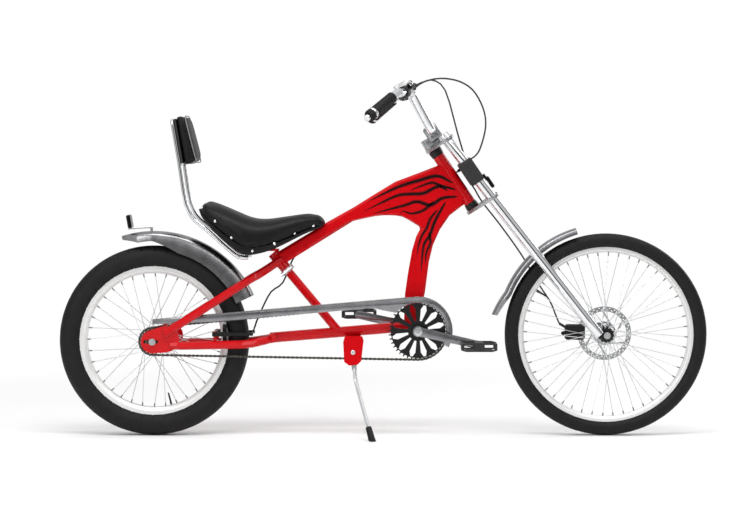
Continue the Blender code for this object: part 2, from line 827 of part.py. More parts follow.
def first_roller_on(start, end, centre):
    """Angle of the first roller that lies on this stretch of the path."""
    number = math.ceil(start / CHAIN_PITCH + 1e-9)
    place, _ = chain_place(number * CHAIN_PITCH)
    return math.atan2(place[1] - centre[1], place[0] - centre[0])


RING_START = STRAIGHT_RUN
COG_START = 2 * STRAIGHT_RUN + RING_RADIUS * (math.pi + 2 * BELT_LEAN)
ring_gap = first_roller_on(RING_START, COG_START, BRACKET)
cog_gap = first_roller_on(COG_START, COG_START, REAR_AXLE)


def chain_mesh():
    """The closed chain: two plate rows with a roller at each pitch, as one welded body.

    On the straight runs the plates' outer corners are needed only every few links.
    """
    verts = []
    faces = []
    half = CHAIN_HEIGHT / 2
    wide = CHAIN_OUTER_WIDTH / 2
    narrow = CHAIN_INNER_WIDTH / 2
    stations = []
    since = CHAIN_STRIDE
    for number in range(CHAIN_LINKS):
        (x, z), normal = chain_place(number * CHAIN_PITCH)
        beside = [chain_place((number + step) % CHAIN_LINKS * CHAIN_PITCH)[1] for step in (-1, 1)]
        bends = any(turn != normal for turn in beside)
        out = (math.cos(normal), math.sin(normal))
        corners = {}
        full = bends or since >= CHAIN_STRIDE - 1
        since = 0 if full else since + 1
        for side in (-1, 1):
            for lift in (half, -half):
                corners[side, "in", lift > 0] = (x + out[0] * lift, side * narrow, z + out[1] * lift)
                if full:
                    corners[side, "out", lift > 0] = (x + out[0] * lift, side * wide, z + out[1] * lift)
            for ahead in (-ROLLER_RADIUS, ROLLER_RADIUS):
                corners[side, "roller", ahead > 0] = (x + out[1] * ahead, side * narrow, z - out[0] * ahead)
        station = {}
        for key, (px, py, pz) in corners.items():
            station[key] = len(verts)
            verts.append((px, py - CHAIN_LINE, pz))
        stations.append(station)
    full_ones = [index for index, station in enumerate(stations) if (1, "out", True) in station]
    for a, b in zip(stations, stations[1:] + stations[:1]):
        for side in (-1, 1):
            faces.append(
                (
                    a[side, "in", True],
                    a[side, "roller", True],
                    a[side, "in", False],
                    b[side, "in", False],
                    b[side, "roller", False],
                    b[side, "in", True],
                )
            )
    for a in stations:
        ring = (("in", True), ("roller", True), ("in", False), ("roller", False))
        for corner, following in zip(ring, ring[1:] + ring[:1]):
            faces.append((a[-1, *corner], a[-1, *following], a[1, *following], a[1, *corner]))
    for first, last in zip(full_ones, full_ones[1:] + [full_ones[0] + CHAIN_LINKS]):
        run = [stations[index % CHAIN_LINKS] for index in range(first, last + 1)]
        for side in (-1, 1):
            for high in (True, False):
                edge = [station[side, "in", high] for station in run]
                faces.append((*edge, run[-1][side, "out", high], run[0][side, "out", high]))
            plate = [(run[0], True), (run[-1], True), (run[-1], False), (run[0], False)]
            faces.append([station[side, "out", high] for station, high in plate])
    mesh = bpy.data.meshes.new("chain")
    mesh.from_pydata(verts, [], faces)
    shape = bmesh.new()
    shape.from_mesh(mesh)
    bmesh.ops.recalc_face_normals(shape, faces=shape.faces)
    shape.to_mesh(mesh)
    shape.free()
    return mesh


chain = add(mesh_object(chain_mesh()), "chain", CHAIN_STEEL)

petals = []
for index in range(CHAINRING_PETALS):
    turn = (index + 0.5) * math.tau / CHAINRING_PETALS
    reach = PETAL_OUTER_RADIUS - PETAL_INNER_RADIUS
    kite = (
        (PETAL_INNER_RADIUS, 0.0028),
        (PETAL_INNER_RADIUS + 0.72 * reach, PETAL_HALF_WIDTH),
        (PETAL_OUTER_RADIUS, 0.0034),
    )
    petal = []
    for along, across in (*kite, *((r, -w) for r, w in reversed(kite))):
        petal.append(
            (
                along * math.cos(turn) - across * math.sin(turn),
                along * math.sin(turn) + across * math.cos(turn),
            )
        )
    petals.append(petal)
RING_BORE = CRANK_AXLE_RADIUS + 0.0045
petals.append(arc((0.0, 0.0), RING_BORE, 0.0, math.tau * 15 / 16, 15))


def side_disc(centre):
    """Plane of the chain line, centred on a toothed wheel, as seen from the left."""
    return Matrix.Translation(side_point(centre, -CHAIN_LINE)) @ Matrix.Rotation(math.pi / 2, 4, "X")


chainring = outline_solid(
    toothed_outline(CHAINRING_TEETH, RING_RADIUS, ring_gap), TOOTH_THICKNESS, side_disc(BRACKET), petals
)
chainring = add(chainring, "chainring", BLACK_METAL)

SPROCKET_BORE = hole_radius(REAR_AXLE_RADIUS, 10)
sprocket = outline_solid(
    toothed_outline(SPROCKET_TEETH, COG_RADIUS, cog_gap), TOOTH_THICKNESS, side_disc(REAR_AXLE)
)
freewheel_body = lathe(
    [
        (0.0, -REAR_HUB_RIGHT - CLEAR),
        (FREEWHEEL_RADIUS, -REAR_HUB_RIGHT - CLEAR),
        (FREEWHEEL_RADIUS, -CHAIN_LINE - 0.003),
        (0.017, -SPROCKET_HUB_END),
        (0.0, -SPROCKET_HUB_END),
    ],
    12,
    REAR_WHEEL,
)
freewheel_bore = lathe(
    [(0.0, 0.0), (SPROCKET_BORE, 0.0), (SPROCKET_BORE, -0.09), (0.0, -0.09)], 10, REAR_WHEEL
)
join(sprocket, freewheel_body)
cut(sprocket, freewheel_bore)
sprocket = add(sprocket, "freewheel_sprocket", CHAIN_STEEL)


# Crank: axle in its cartridge, two arms and the pedals
CRANK_END = CRANK_INSIDE + CRANK_THICKNESS
CHAINRING_SEAT = CHAIN_LINE + TOOTH_THICKNESS / 2 + CLEAR
BEARING_RADIUS = BRACKET_SHELL_RADIUS - 0.0050
cartridge = lathe(
    [
        (hole_radius(CRANK_AXLE_RADIUS, 12), 0.5 * BRACKET_SHELL_WIDTH + 0.004),
        (BRACKET_SHELL_RADIUS - 0.001, 0.5 * BRACKET_SHELL_WIDTH + 0.004),
        (BRACKET_SHELL_RADIUS - 0.001, 0.5 * BRACKET_SHELL_WIDTH + CLEAR),
        (BEARING_RADIUS, 0.5 * BRACKET_SHELL_WIDTH + CLEAR),
        (BEARING_RADIUS, -0.5 * BRACKET_SHELL_WIDTH - CLEAR),
        (BRACKET_SHELL_RADIUS - 0.001, -0.5 * BRACKET_SHELL_WIDTH - CLEAR),
        (BRACKET_SHELL_RADIUS - 0.001, -0.5 * BRACKET_SHELL_WIDTH - 0.004),
        (hole_radius(CRANK_AXLE_RADIUS, 12), -0.5 * BRACKET_SHELL_WIDTH - 0.004),
    ],
    12,
    CRANK_CENTRE,
    closed=True,
)
cartridge = add(cartridge, "bottom_bracket_cartridge", BLACK_METAL)

AXLE_HALF = CRANK_END - 0.003
crank_axle = lathe(
    [(0.0, AXLE_HALF), (CRANK_AXLE_RADIUS, AXLE_HALF), (CRANK_AXLE_RADIUS, -AXLE_HALF), (0.0, -AXLE_HALF)],
    12,
    CRANK_CENTRE,
)
crank_axle = add(crank_axle, "crank_axle", SILVER)


def crank_arm(name, side):
    """A tapered arm from the axle to the pedal eye; side is 1 on the left, -1 on the right."""
    direction = 1 if side < 0 else -1
    end = (
        BRACKET[0] + direction * CRANK_LENGTH * math.cos(CRANK_ANGLE),
        BRACKET[1] - direction * CRANK_LENGTH * math.sin(CRANK_ANGLE),
    )
    middle = side * (CRANK_INSIDE + CRANK_THICKNESS / 2)
    band = hull_of_circles([(BRACKET, CRANK_BOSS_RADIUS * 0.86), (end, CRANK_EYE_RADIUS)], 12)
    made = outline_solid(band, CRANK_THICKNESS, side_view(middle))
    inside = CHAINRING_SEAT if side < 0 else CRANK_INSIDE - 0.004
    boss = cylinder(
        side_point(BRACKET, side * inside), side_point(BRACKET, side * CRANK_END), CRANK_BOSS_RADIUS, 16
    )
    bore = cylinder(
        side_point(BRACKET, side * (inside - 0.01)),
        side_point(BRACKET, side * (AXLE_HALF + CLEAR)),
        hole_radius(CRANK_AXLE_RADIUS, 12),
        12,
    )
    pedal_start = CRANK_END + PEDAL_GAP
    spindle = cylinder(
        side_point(end, side * (CRANK_END - 0.003)),
        side_point(end, side * (pedal_start + PEDAL_WIDTH - PEDAL_END_WALL - CLEAR)),
        PEDAL_SPINDLE_RADIUS,
        8,
    )
    collar = cylinder(
        side_point(end, side * (CRANK_END - 0.001)), side_point(end, side * (pedal_start - CLEAR)), 0.0085, 8
    )
    join(made, boss, collar, spindle)
    cut(made, bore)
    return add(made, name, DULL_CHROME), end


crank_right, PEDAL_RIGHT = crank_arm("crank_arm_right", -1)
crank_left, PEDAL_LEFT = crank_arm("crank_arm_left", 1)


def pedal(name, centre, side):
    """A cage pedal: a solid middle for the axle, end bars and pierced side plates."""
    inner = CRANK_END + PEDAL_GAP
    outer = inner + PEDAL_WIDTH
    half = PEDAL_LENGTH / 2
    tall = PEDAL_HEIGHT / 2
    outline = [
        (-half, 0.004 - tall),
        (0.014 - half, -tall),
        (half - 0.014, -tall),
        (half, 0.004 - tall),
        (half, tall - 0.004),
        (half - 0.014, tall),
        (0.014 - half, tall),
        (-half, tall - 0.004),
    ]
    frame = Matrix.Translation(side_point(centre, side * (inner + outer) / 2))
    made = outline_solid(outline, PEDAL_WIDTH, frame @ Matrix.Rotation(math.pi / 2, 4, "X"))
    window = half - PEDAL_BAR - PEDAL_CORE
    for sense in (-1, 1):
        middle = sense * (PEDAL_CORE + window / 2)
        from_above = block((middle, 0.0, 0.0), (window, PEDAL_WIDTH - 2 * PEDAL_BAR, 0.05), frame)
        from_side = block((middle, 0.0, 0.0), (window - 0.006, 0.2, PEDAL_HEIGHT - 2 * PEDAL_BAR), frame)
        cut(made, from_above, from_side)
    bore = cylinder(
        side_point(centre, side * (inner - 0.01)),
        side_point(centre, side * (outer - PEDAL_END_WALL)),
        hole_radius(PEDAL_SPINDLE_RADIUS, 10),
        10,
    )
    cut(made, bore)
    return add(made, name, BLACK_PLASTIC)


pedal_right = pedal("pedal_right", PEDAL_RIGHT, -1)
pedal_left = pedal("pedal_left", PEDAL_LEFT, 1)

# Frame: one welding of tubes, plates and brackets
SPINE_TOP = ((0.319, 0.0136), (0.472, 0.0083), (0.613, 0.0071), (0.734, 0.0053), (0.859, -0.0099))
SPINE_UNDER = ((0.433, -0.0249), (0.548, -0.0487), (0.613, -0.0691), (0.665, -0.0927), (0.697, -0.1266))
LEG_REAR = ((0.699, 0.106), (0.624, 0.109), (0.517, 0.1045), (0.353, 0.0904), (0.207, 0.0757), (0.0, 0.045))
LEG_FRONT = ((0.0, 0.008), (0.269, 0.0225), (0.489, 0.0461), (0.614, 0.0538), (0.738, 0.0522), (0.86, 0.0414))


def frame_outline():
    """Side view of the pressed spine and down leg, from the seat knot round and back."""
    top = [part_way(SEAT_KNOT, HEAD_UPPER, *pair) for pair in SPINE_TOP]
    top.append(flat(steering_point(-HEAD_TUBE_RADIUS, 0.0, -0.022)))
    head = [flat(steering_point(0.0, 0.0, -0.035)), flat(steering_point(0.0, 0.0, 0.018 - HEAD_TUBE_LENGTH))]
    front = [part_way(BRACKET, HEAD_LOWER, *pair) for pair in LEG_FRONT]
    front.append(flat(steering_point(-HEAD_TUBE_RADIUS, 0.0, 0.006 - HEAD_TUBE_LENGTH)))
    rear = [part_way(BRACKET, HEAD_LOWER, *pair) for pair in LEG_REAR]
    under = [part_way(SEAT_KNOT, HEAD_UPPER, *pair) for pair in SPINE_UNDER]
    knot_low = part_way(SEAT_KNOT, HEAD_UPPER, 0.0, -0.0212)
    knot_high = part_way(SEAT_KNOT, HEAD_UPPER, -0.03, 0.0195)
    knot_back = part_way(SEAT_KNOT, HEAD_UPPER, -0.045, -0.014)
    return [knot_high, *top, *head, *front[::-1], *rear[::-1], *smooth(under[::-1], 2), knot_low, knot_back]


spine = outline_solid(frame_outline(), 2 * SPINE_HALF_THICKNESS, side_view(0.0), edge=SPINE_EDGE, segments=1)
head_tube = lathe(
    [(0.0, 0.0), (HEAD_TUBE_RADIUS, 0.0), (HEAD_TUBE_RADIUS, -HEAD_TUBE_LENGTH), (0.0, -HEAD_TUBE_LENGTH)],
    16,
    STEERING,
)
bracket_shell = cylinder(
    side_point(BRACKET, -BRACKET_SHELL_WIDTH / 2),
    side_point(BRACKET, BRACKET_SHELL_WIDTH / 2),
    BRACKET_SHELL_RADIUS,
    16,
)
bottom_tube = cylinder(
    side_point((BRACKET[0], BRACKET[1] + 0.012), 0.0), side_point(YOKE, 0.0), BOTTOM_TUBE_RADIUS, 12
)
yoke_centre = (YOKE[0] + 0.006, YOKE[1])
yoke = cylinder(side_point(yoke_centre, -0.030), side_point(yoke_centre, 0.030), STAY_RADIUS + 0.0015, 10)


def chain_stay(side):
    """A stay from the yoke round the tyre to the dropout."""
    route = [
        (YOKE[0] + 0.012, side * 0.008, YOKE[1]),
        (YOKE[0] - 0.014, side * 0.034, YOKE[1] - 0.006),
        (YOKE[0] - 0.050, side * 0.056, YOKE[1] - 0.013),
        (YOKE[0] - 0.085, side * STAY_SPREAD, YOKE[1] - 0.016),
        (REAR_AXLE[0] + 0.085, side * (STAY_SPREAD + 0.003), REAR_AXLE[1] - 0.012),
        (REAR_AXLE[0] + 0.050, side * (REAR_DROPOUT_GAP / 2 + DROPOUT_THICKNESS / 2), REAR_AXLE[1] - 0.010),
    ]
    return tube(smooth(route, 1), STAY_RADIUS, 8)


SEAT_STAY_BEND = (REAR_AXLE[0] + 0.282, REAR_AXLE[1] + 0.180)


def seat_stay(side):
    """A stay from the seat knot round the fender to the dropout, outside the chain."""
    route = [
        (SEAT_KNOT[0] + 0.004, side * 0.012, SEAT_KNOT[1] - 0.004),
        (SEAT_KNOT[0] - 0.034, side * 0.034, SEAT_KNOT[1] - 0.030),
        (SEAT_KNOT[0] - 0.066, side * 0.055, SEAT_KNOT[1] - 0.050),
        (SEAT_STAY_BEND[0], side * STAY_SPREAD, SEAT_STAY_BEND[1]),
        (REAR_AXLE[0] + 0.160, side * STAY_SPREAD_AXLE, REAR_AXLE[1] + 0.102),
        (REAR_AXLE[0] + 0.062, side * STAY_SPREAD_AXLE, REAR_AXLE[1] + 0.040),
        (REAR_AXLE[0] + 0.036, side * STAY_SPREAD_AXLE, REAR_AXLE[1] + 0.024),
    ]
    return tube(smooth(route, 2), STAY_RADIUS, 8)


def dropout(side):
    """A rounded end plate, slotted so that the axle can tighten the chain."""
    outer = ((REAR_AXLE[0] + 0.040, REAR_AXLE[1] + 0.008), DROPOUT_RADIUS + 0.005)
    band = hull_of_circles([(REAR_AXLE, DROPOUT_RADIUS), outer], 16)
    middle = side * (REAR_DROPOUT_GAP + DROPOUT_THICKNESS) / 2
    return outline_solid(band, DROPOUT_THICKNESS, side_view(middle))


def slot(side):
    wide = REAR_AXLE_RADIUS + CLEAR
    ends = [
        ((REAR_AXLE[0] - SLOT_BACK + wide, REAR_AXLE[1]), wide),
        ((REAR_AXLE[0] + SLOT_FRONT - wide, REAR_AXLE[1]), wide),
    ]
    middle = side * (REAR_DROPOUT_GAP + DROPOUT_THICKNESS) / 2
    return outline_solid(hull_of_circles(ends, 8), 4 * DROPOUT_THICKNESS, side_view(middle))


def along_strut(distance):
    """Side view point on the seat strut's axis, measured down from the sleeve's top."""
    length = math.dist(SLEEVE_TOP, STRUT_FOOT)
    return part_way(SLEEVE_TOP, STRUT_FOOT, distance / length)


SLEEVE_TOP = part_way(SEAT_KNOT, HEAD_UPPER, -0.02, 0.036)
strut = cylinder(
    side_point(along_strut(0.050), 0.0),
    side_point(part_way(SLEEVE_TOP, STRUT_FOOT, 1.07), 0.0),
    STRUT_RADIUS,
    10,
)
sleeve_start = side_point(along_strut(0.012), 0.0)
sleeve_end = side_point(along_strut(SLEEVE_LENGTH), 0.0)
sleeve = cylinder(sleeve_start, sleeve_end, SLEEVE_RADIUS, 14)

BRAKE_PIVOT = (REAR_AXLE[0] + 0.1825, REAR_AXLE[1] + 0.021)
BRAKE_PIVOT_LATERAL = 0.050
BRAKE_ARM_HEIGHT = 0.013
STUD_RADIUS = 0.005


def brake_stud(side):
    foot = REAR_AXLE[1] - 0.012
    top = BRAKE_PIVOT[1] + BRAKE_ARM_HEIGHT / 2 + 0.002
    lateral = side * BRAKE_PIVOT_LATERAL
    return cylinder((BRAKE_PIVOT[0], lateral, foot), (BRAKE_PIVOT[0], lateral, top), STUD_RADIUS, 8)


BRIDGE = (REAR_AXLE[0] + 0.291, REAR_AXLE[1] + 0.187)
fender_bridge = cylinder(
    side_point(BRIDGE, -STAY_SPREAD + 0.006), side_point(BRIDGE, STAY_SPREAD - 0.006), 0.007, 10
)
REAR_FENDER_RADIUS = REAR_TYRE_RADIUS + REAR_FENDER_GAP
bridge_angle = math.atan2(BRIDGE[1] - REAR_AXLE[1], BRIDGE[0] - REAR_AXLE[0])
fender_seat = arc(REAR_AXLE, REAR_FENDER_RADIUS + CLEAR, bridge_angle, bridge_angle, 1)[0]
fender_stand = cylinder(side_point(BRIDGE, 0.0), side_point(fender_seat, 0.0), 0.0055, 10)

# Kickstand bracket: a channel whose pin is tilted so that the leg folds in beside the stay
KICK_PIVOT = Vector((BRACKET[0] - 0.191, -0.0600, 0.2487))
KICK_AXIS = Vector((0.0, 0.9962, -0.0872)).normalized()
KICK_GAP = 0.0066
KICK_PLATE = 0.0030
kick_side = KICK_AXIS.cross(Vector((0.0, 0.0, 1.0))).normalized()
kick_up = kick_side.cross(KICK_AXIS).normalized()
KICK_FRAME = Matrix.Translation(KICK_PIVOT) @ Matrix((kick_side, kick_up, -KICK_AXIS)).transposed().to_4x4()


def kick_plate(lateral):
    outline = [
        (0.024, -0.026),
        (0.012, -0.037),
        (-0.012, -0.039),
        (-0.026, -0.028),
        (-0.029, 0.030),
        (-0.024, 0.047),
        (0.027, 0.047),
        (0.031, 0.034),
    ]
    return outline_solid(outline, KICK_PLATE, KICK_FRAME @ Matrix.Translation((0.0, 0.0, lateral)))


kick_inner = kick_plate(-(KICK_GAP + KICK_PLATE) / 2)
kick_outer = kick_plate((KICK_GAP + KICK_PLATE) / 2)
kick_web = block((0.0, 0.0405, 0.0), (0.0480, 0.011, KICK_GAP + 2 * KICK_PLATE - 0.0006), KICK_FRAME)
kick_shelf = block(
    (KICK_PIVOT[0], KICK_PIVOT[1] / 2 + 0.003, KICK_PIVOT[2] + 0.043),
    (0.044, -KICK_PIVOT[1] - 0.004, 0.007),
)
kick_pin_hole = cylinder(
    KICK_PIVOT - KICK_AXIS * 0.03, KICK_PIVOT + KICK_AXIS * 0.03, 0.0043, 10
)

GUARD_LATERAL = CHAIN_LINE + 0.0095
GUARD_SHEET = 0.0016
guard_boss_place = part_way(SLEEVE_TOP, STRUT_FOOT, 0.763)
guard_boss = cylinder(
    side_point(guard_boss_place, -0.006), side_point(guard_boss_place, CLEAR - GUARD_LATERAL), 0.0045, 10
)

SEAT_PLATE_SIZE = (0.052, 0.044, 0.006)
seat_plate = block((SLEEVE_TOP[0], 0.0, SLEEVE_TOP[1]), SEAT_PLATE_SIZE)

frame_main = spine
join(frame_main, head_tube, bracket_shell, bottom_tube, yoke)
for side in (-1, 1):
    join(frame_main, chain_stay(side), seat_stay(side), dropout(side), brake_stud(side))
join(frame_main, strut, sleeve, fender_bridge, fender_stand, guard_boss, seat_plate)
join(frame_main, kick_shelf, kick_web, kick_inner, kick_outer)
bore_end = -0.05 - HEAD_TUBE_LENGTH
head_bore = lathe(
    [(0.0, 0.05), (HEAD_BORE_RADIUS, 0.05), (HEAD_BORE_RADIUS, bore_end), (0.0, bore_end)], 16, STEERING
)
bracket_bore = cylinder(side_point(BRACKET, -0.05), side_point(BRACKET, 0.05), BEARING_RADIUS + CLEAR, 12)
cut(frame_main, head_bore, bracket_bore, slot(-1), slot(1), kick_pin_hole)
frame_main = add(frame_main, "frame", RED_PAINT)

# Seat clamp collar round the sleeve's lower end, with its bolt
collar_top = side_point(along_strut(SLEEVE_LENGTH - COLLAR_HEIGHT), 0.0)
collar_end = side_point(along_strut(SLEEVE_LENGTH), 0.0)
collar_axis = (collar_end - collar_top).normalized()
collar_side = Vector((0.0, 1.0, 0.0)).cross(collar_axis)
collar = cylinder(collar_top, collar_end, SLEEVE_RADIUS + COLLAR_WALL, 16)
collar_middle = (collar_top + collar_end) / 2 + Vector((0.0, -SLEEVE_RADIUS - 0.006, 0.0))
collar_bolt = cylinder(collar_middle - collar_side * 0.020, collar_middle + collar_side * 0.020, 0.0032, 8)
collar_ear = cylinder(collar_middle - collar_side * 0.010, collar_middle + collar_side * 0.010, 0.0058, 8)
collar_head = cylinder(collar_middle + collar_side * 0.018, collar_middle + collar_side * 0.024, 0.0052, 8)
collar_nut = cylinder(collar_middle - collar_side * 0.018, collar_middle - collar_side * 0.023, 0.0056, 6)
join(collar, collar_ear, collar_bolt, collar_head, collar_nut)
collar_bore = cylinder(
    collar_top - collar_axis * 0.02, collar_end + collar_axis * 0.02, hole_radius(SLEEVE_RADIUS, 14), 14
)
cut(collar, collar_bore)
add(collar, "seat_clamp", SILVER)

# Headset cups, one at each end of the head tube
CUP_INNER = hole_radius(STEERER_RADIUS, 12)
upper_cup_top = UPPER_CROWN - CROWN_THICKNESS / 2 - CLEAR
lower_cup_end = CROWN_THICKNESS / 2 - LOWER_CROWN + CLEAR


def cup(name, near, far):
    """A bearing cup pressed into the head tube, flaring to the crown."""
    sense = 1 if far > near else -1
    profile = [
        (CUP_INNER, far),
        (CUP_RADIUS - 0.002, far),
        (CUP_RADIUS, far - sense * 0.004),
        (CUP_RADIUS - 0.002, near),
        (HEAD_BORE_RADIUS - CLEAR, near),
        (HEAD_BORE_RADIUS - CLEAR, near - sense * 0.010),
        (CUP_INNER, near - sense * 0.010),
    ]
    return add(lathe(profile, 12, STEERING, closed=True), name, BLACK_METAL)


cup("headset_cup_upper", CLEAR, upper_cup_top)
cup("headset_cup_lower", -HEAD_TUBE_LENGTH - CLEAR, lower_cup_end)


# Fork: crowns, steerer and legs
def leg_offset(up):
    return FORK_LEG_OFFSET + (UPPER_CROWN - up) * math.tan(FORK_LEG_RAKE)


def leg_point(side, up):
    """A point on a fork leg's axis, by its height along the steering axis."""
    return steering_point(leg_offset(up), side * FORK_LEG_SPREAD, up)


def leg_bore(side, low, high):
    """A cutter that leaves running clearance round a fork leg."""
    return cylinder(leg_point(side, low), leg_point(side, high), hole_radius(FORK_LEG_RADIUS, 12), 12)


LEG_TOP = UPPER_CROWN + FORK_LEG_RISE
LEG_TIP = -FORK_LENGTH + 0.012


def crown(up):
    """A crown plate that reaches from the steerer to both legs."""
    ahead = leg_offset(up)
    band = hull_of_circles(
        [
            ((0.0, 0.0), 0.0245),
            ((ahead, FORK_LEG_SPREAD), FORK_LEG_RADIUS + 0.0065),
            ((ahead, -FORK_LEG_SPREAD), FORK_LEG_RADIUS + 0.0065),
        ],
        14,
    )
    made = outline_solid(band, CROWN_THICKNESS, STEERING @ Matrix.Translation((0.0, 0.0, up)))
    cut(made, leg_bore(-1, up - 0.03, up + 0.03), leg_bore(1, up - 0.03, up + 0.03))
    return made


STEERER_TOP = UPPER_CROWN + CROWN_THICKNESS / 2 + 0.022
crown_upper = crown(UPPER_CROWN)
STEERER_HOLE = hole_radius(STEERER_RADIUS, 12)
cut(crown_upper, lathe([(0.0, 0.1), (STEERER_HOLE, 0.1), (STEERER_HOLE, -0.1), (0.0, -0.1)], 12, STEERING))
crown_upper = add(crown_upper, "crown_upper", CHROME)
crown_lower = crown(-LOWER_CROWN)
steerer = lathe(
    [
        (0.0, STEERER_TOP),
        (STEERER_RADIUS, STEERER_TOP),
        (STEERER_RADIUS, -LOWER_CROWN),
        (0.0, -LOWER_CROWN),
    ],
    12,
    STEERING,
)
join(crown_lower, steerer)
crown_lower = add(crown_lower, "crown_lower_and_steerer", CHROME)


def fork_leg(name, side):
    """A long straight leg with a slotted dropout plate welded to its inner side."""
    made = cylinder(leg_point(side, LEG_TIP), leg_point(side, LEG_TOP), FORK_LEG_RADIUS, 12)
    tip_ahead = leg_offset(LEG_TIP)
    band = hull_of_circles(
        [
            ((tip_ahead - 0.004, LEG_TIP + 0.060), 0.008),
            ((tip_ahead, LEG_TIP + 0.006), 0.014),
            ((FORK_OFFSET, -FORK_LENGTH), 0.0135),
        ],
        12,
    )
    middle = side * (FRONT_DROPOUT_GAP + FRONT_DROPOUT_THICKNESS) / 2
    plane = STEERING @ Matrix.Translation((0.0, middle, 0.0)) @ Matrix.Rotation(math.pi / 2, 4, "X")
    join(made, outline_solid(band, FRONT_DROPOUT_THICKNESS, plane))
    if side > 0:
        join(made, outline_solid(caliper_tab(), FRONT_DROPOUT_THICKNESS, side_view(middle)))
    wide = FRONT_AXLE_RADIUS + CLEAR
    opening = hull_of_circles(
        [((FORK_OFFSET, -FORK_LENGTH), wide), ((FORK_OFFSET + 0.006, -FORK_LENGTH - 0.030), wide)], 8
    )
    cut(made, outline_solid(opening, 3 * FRONT_DROPOUT_THICKNESS, plane))
    return add(made, name, CHROME)


CALIPER = (FRONT_AXLE[0] - 0.088, FRONT_AXLE[1] + 0.004)


def caliper_tab():
    """Ear on the left dropout that the disc caliper is bolted to."""
    axle_side = (FRONT_AXLE[0] - 0.020, FRONT_AXLE[1] + 0.016)
    ends = [
        (axle_side, 0.012),
        ((CALIPER[0] + 0.026, CALIPER[1] + 0.018), 0.007),
        ((CALIPER[0] + 0.028, CALIPER[1] - 0.014), 0.007),
    ]
    return hull_of_circles(ends, 10)


leg_right = fork_leg("fork_leg_right", -1)
leg_left = fork_leg("fork_leg_left", 1)

# Stem clamp on top of the upper crown, holding the handlebar
BAR_CENTRE = (0.0235, 0.0720)
STEM_BASE = UPPER_CROWN + CROWN_THICKNESS / 2 + CLEAR
STEM_TOP = STEM_BASE + 0.030
stem = lathe([(0.0, STEM_TOP), (0.0205, STEM_TOP), (0.0225, STEM_BASE), (0.0, STEM_BASE)], 14, STEERING)
stem_block = block(
    (BAR_CENTRE[0], 0.0, BAR_CENTRE[1] - 0.006), (0.042, 0.066, 0.048), STEERING, edge=0.005, segments=1
)
stem_neck = block((0.010, 0.0, STEM_BASE + 0.0125), (0.040, 0.044, 0.025), STEERING)
stem_bore = lathe(
    [
        (0.0, STEERER_TOP + CLEAR),
        (STEERER_HOLE, STEERER_TOP + CLEAR),
        (STEERER_HOLE, 0.0),
        (0.0, 0.0),
    ],
    12,
    STEERING,
)
bar_bore = cylinder(
    steering_point(BAR_CENTRE[0], -0.06, BAR_CENTRE[1]),
    steering_point(BAR_CENTRE[0], 0.06, BAR_CENTRE[1]),
    hole_radius(BAR_RADIUS, 12),
    12,
)
join(stem, stem_neck, stem_block)
cut(stem, stem_bore, bar_bore)
stem = add(stem, "stem_clamp", SILVER)

# Handlebar: risers out of the clamp, then pulled back to the grips
BAR_MIDDLE = steering_point(BAR_CENTRE[0], 0.0, BAR_CENTRE[1])
GRIP_START = Vector((-0.1078, -0.222, 0.1010))
GRIP_DIRECTION = Vector((-0.0826, -0.1030, -0.0703)).normalized()
PERCH_FROM = Vector((-0.0725, -0.145, 0.1125))
PERCH_TO = Vector((-0.0890, -0.190, 0.1090))


def bar_route(side):
    """Half of the handlebar's centre line, outwards from the clamp."""
    route = [
        (0.0, 0.0, 0.0),
        (0.0, -0.038, 0.0),
        (-0.005, -0.052, 0.010),
        (-0.028, -0.064, 0.052),
        (-0.052, -0.078, 0.097),
        (-0.062, -0.094, 0.111),
        tuple(PERCH_FROM),
        tuple(PERCH_TO),
        tuple(GRIP_START),
        tuple(GRIP_START + GRIP_DIRECTION * (GRIP_LENGTH + 0.012 - GRIP_WALL - 0.0005)),
    ]
    placed = []
    for x, y, z in route:
        placed.append(BAR_MIDDLE + Vector((x, -side * y, z)))
    return placed


right_half = smooth([tuple(p) for p in bar_route(-1)[1:-1]], 2)
right_half = [bar_route(-1)[0], *right_half, bar_route(-1)[-1]]
left_half = [Vector((p[0], -p[1], p[2])) for p in right_half]
handlebar = tube_curve([tuple(p) for p in left_half[:0:-1]] + [tuple(p) for p in right_half], BAR_RADIUS, 8)
handlebar = add(handlebar, "handlebar", CHROME)


def mirrored(vector, side):
    """A point or direction worked out for the right side (-1), or its mirror on the left."""
    return Vector((vector[0], -side * vector[1], vector[2]))


def grip(name, side):
    """A ribbed rubber grip, closed at its outer end."""
    start = BAR_MIDDLE + mirrored(GRIP_START + GRIP_DIRECTION * 0.012, side)
    direction = mirrored(GRIP_DIRECTION, side)
    frame = Matrix.Translation(start) @ direction.to_track_quat("Z", "Y").to_matrix().to_4x4()
    bore = hole_radius(BAR_RADIUS, 10)
    outer = [(GRIP_RADIUS - 0.001, GRIP_LENGTH), (GRIP_RADIUS + 0.0015, GRIP_LENGTH - 0.002)]
    outer += [(GRIP_RADIUS + 0.0015, GRIP_LENGTH - 0.008), (GRIP_RADIUS - 0.0015, GRIP_LENGTH - 0.010)]
    outer += [(GRIP_RADIUS, GRIP_LENGTH / 2), (GRIP_RADIUS - 0.001, 0.010), (GRIP_RADIUS + 0.002, 0.006)]
    outer += [(GRIP_RADIUS + 0.002, 0.0)]
    floor = GRIP_LENGTH - GRIP_WALL
    profile = [(0.0, GRIP_LENGTH), *outer, (bore, 0.0), (bore, floor), (0.0, floor)]
    return add(lathe(profile, 10, frame), name, RUBBER)


grip("grip_right", -1)
grip("grip_left", 1)

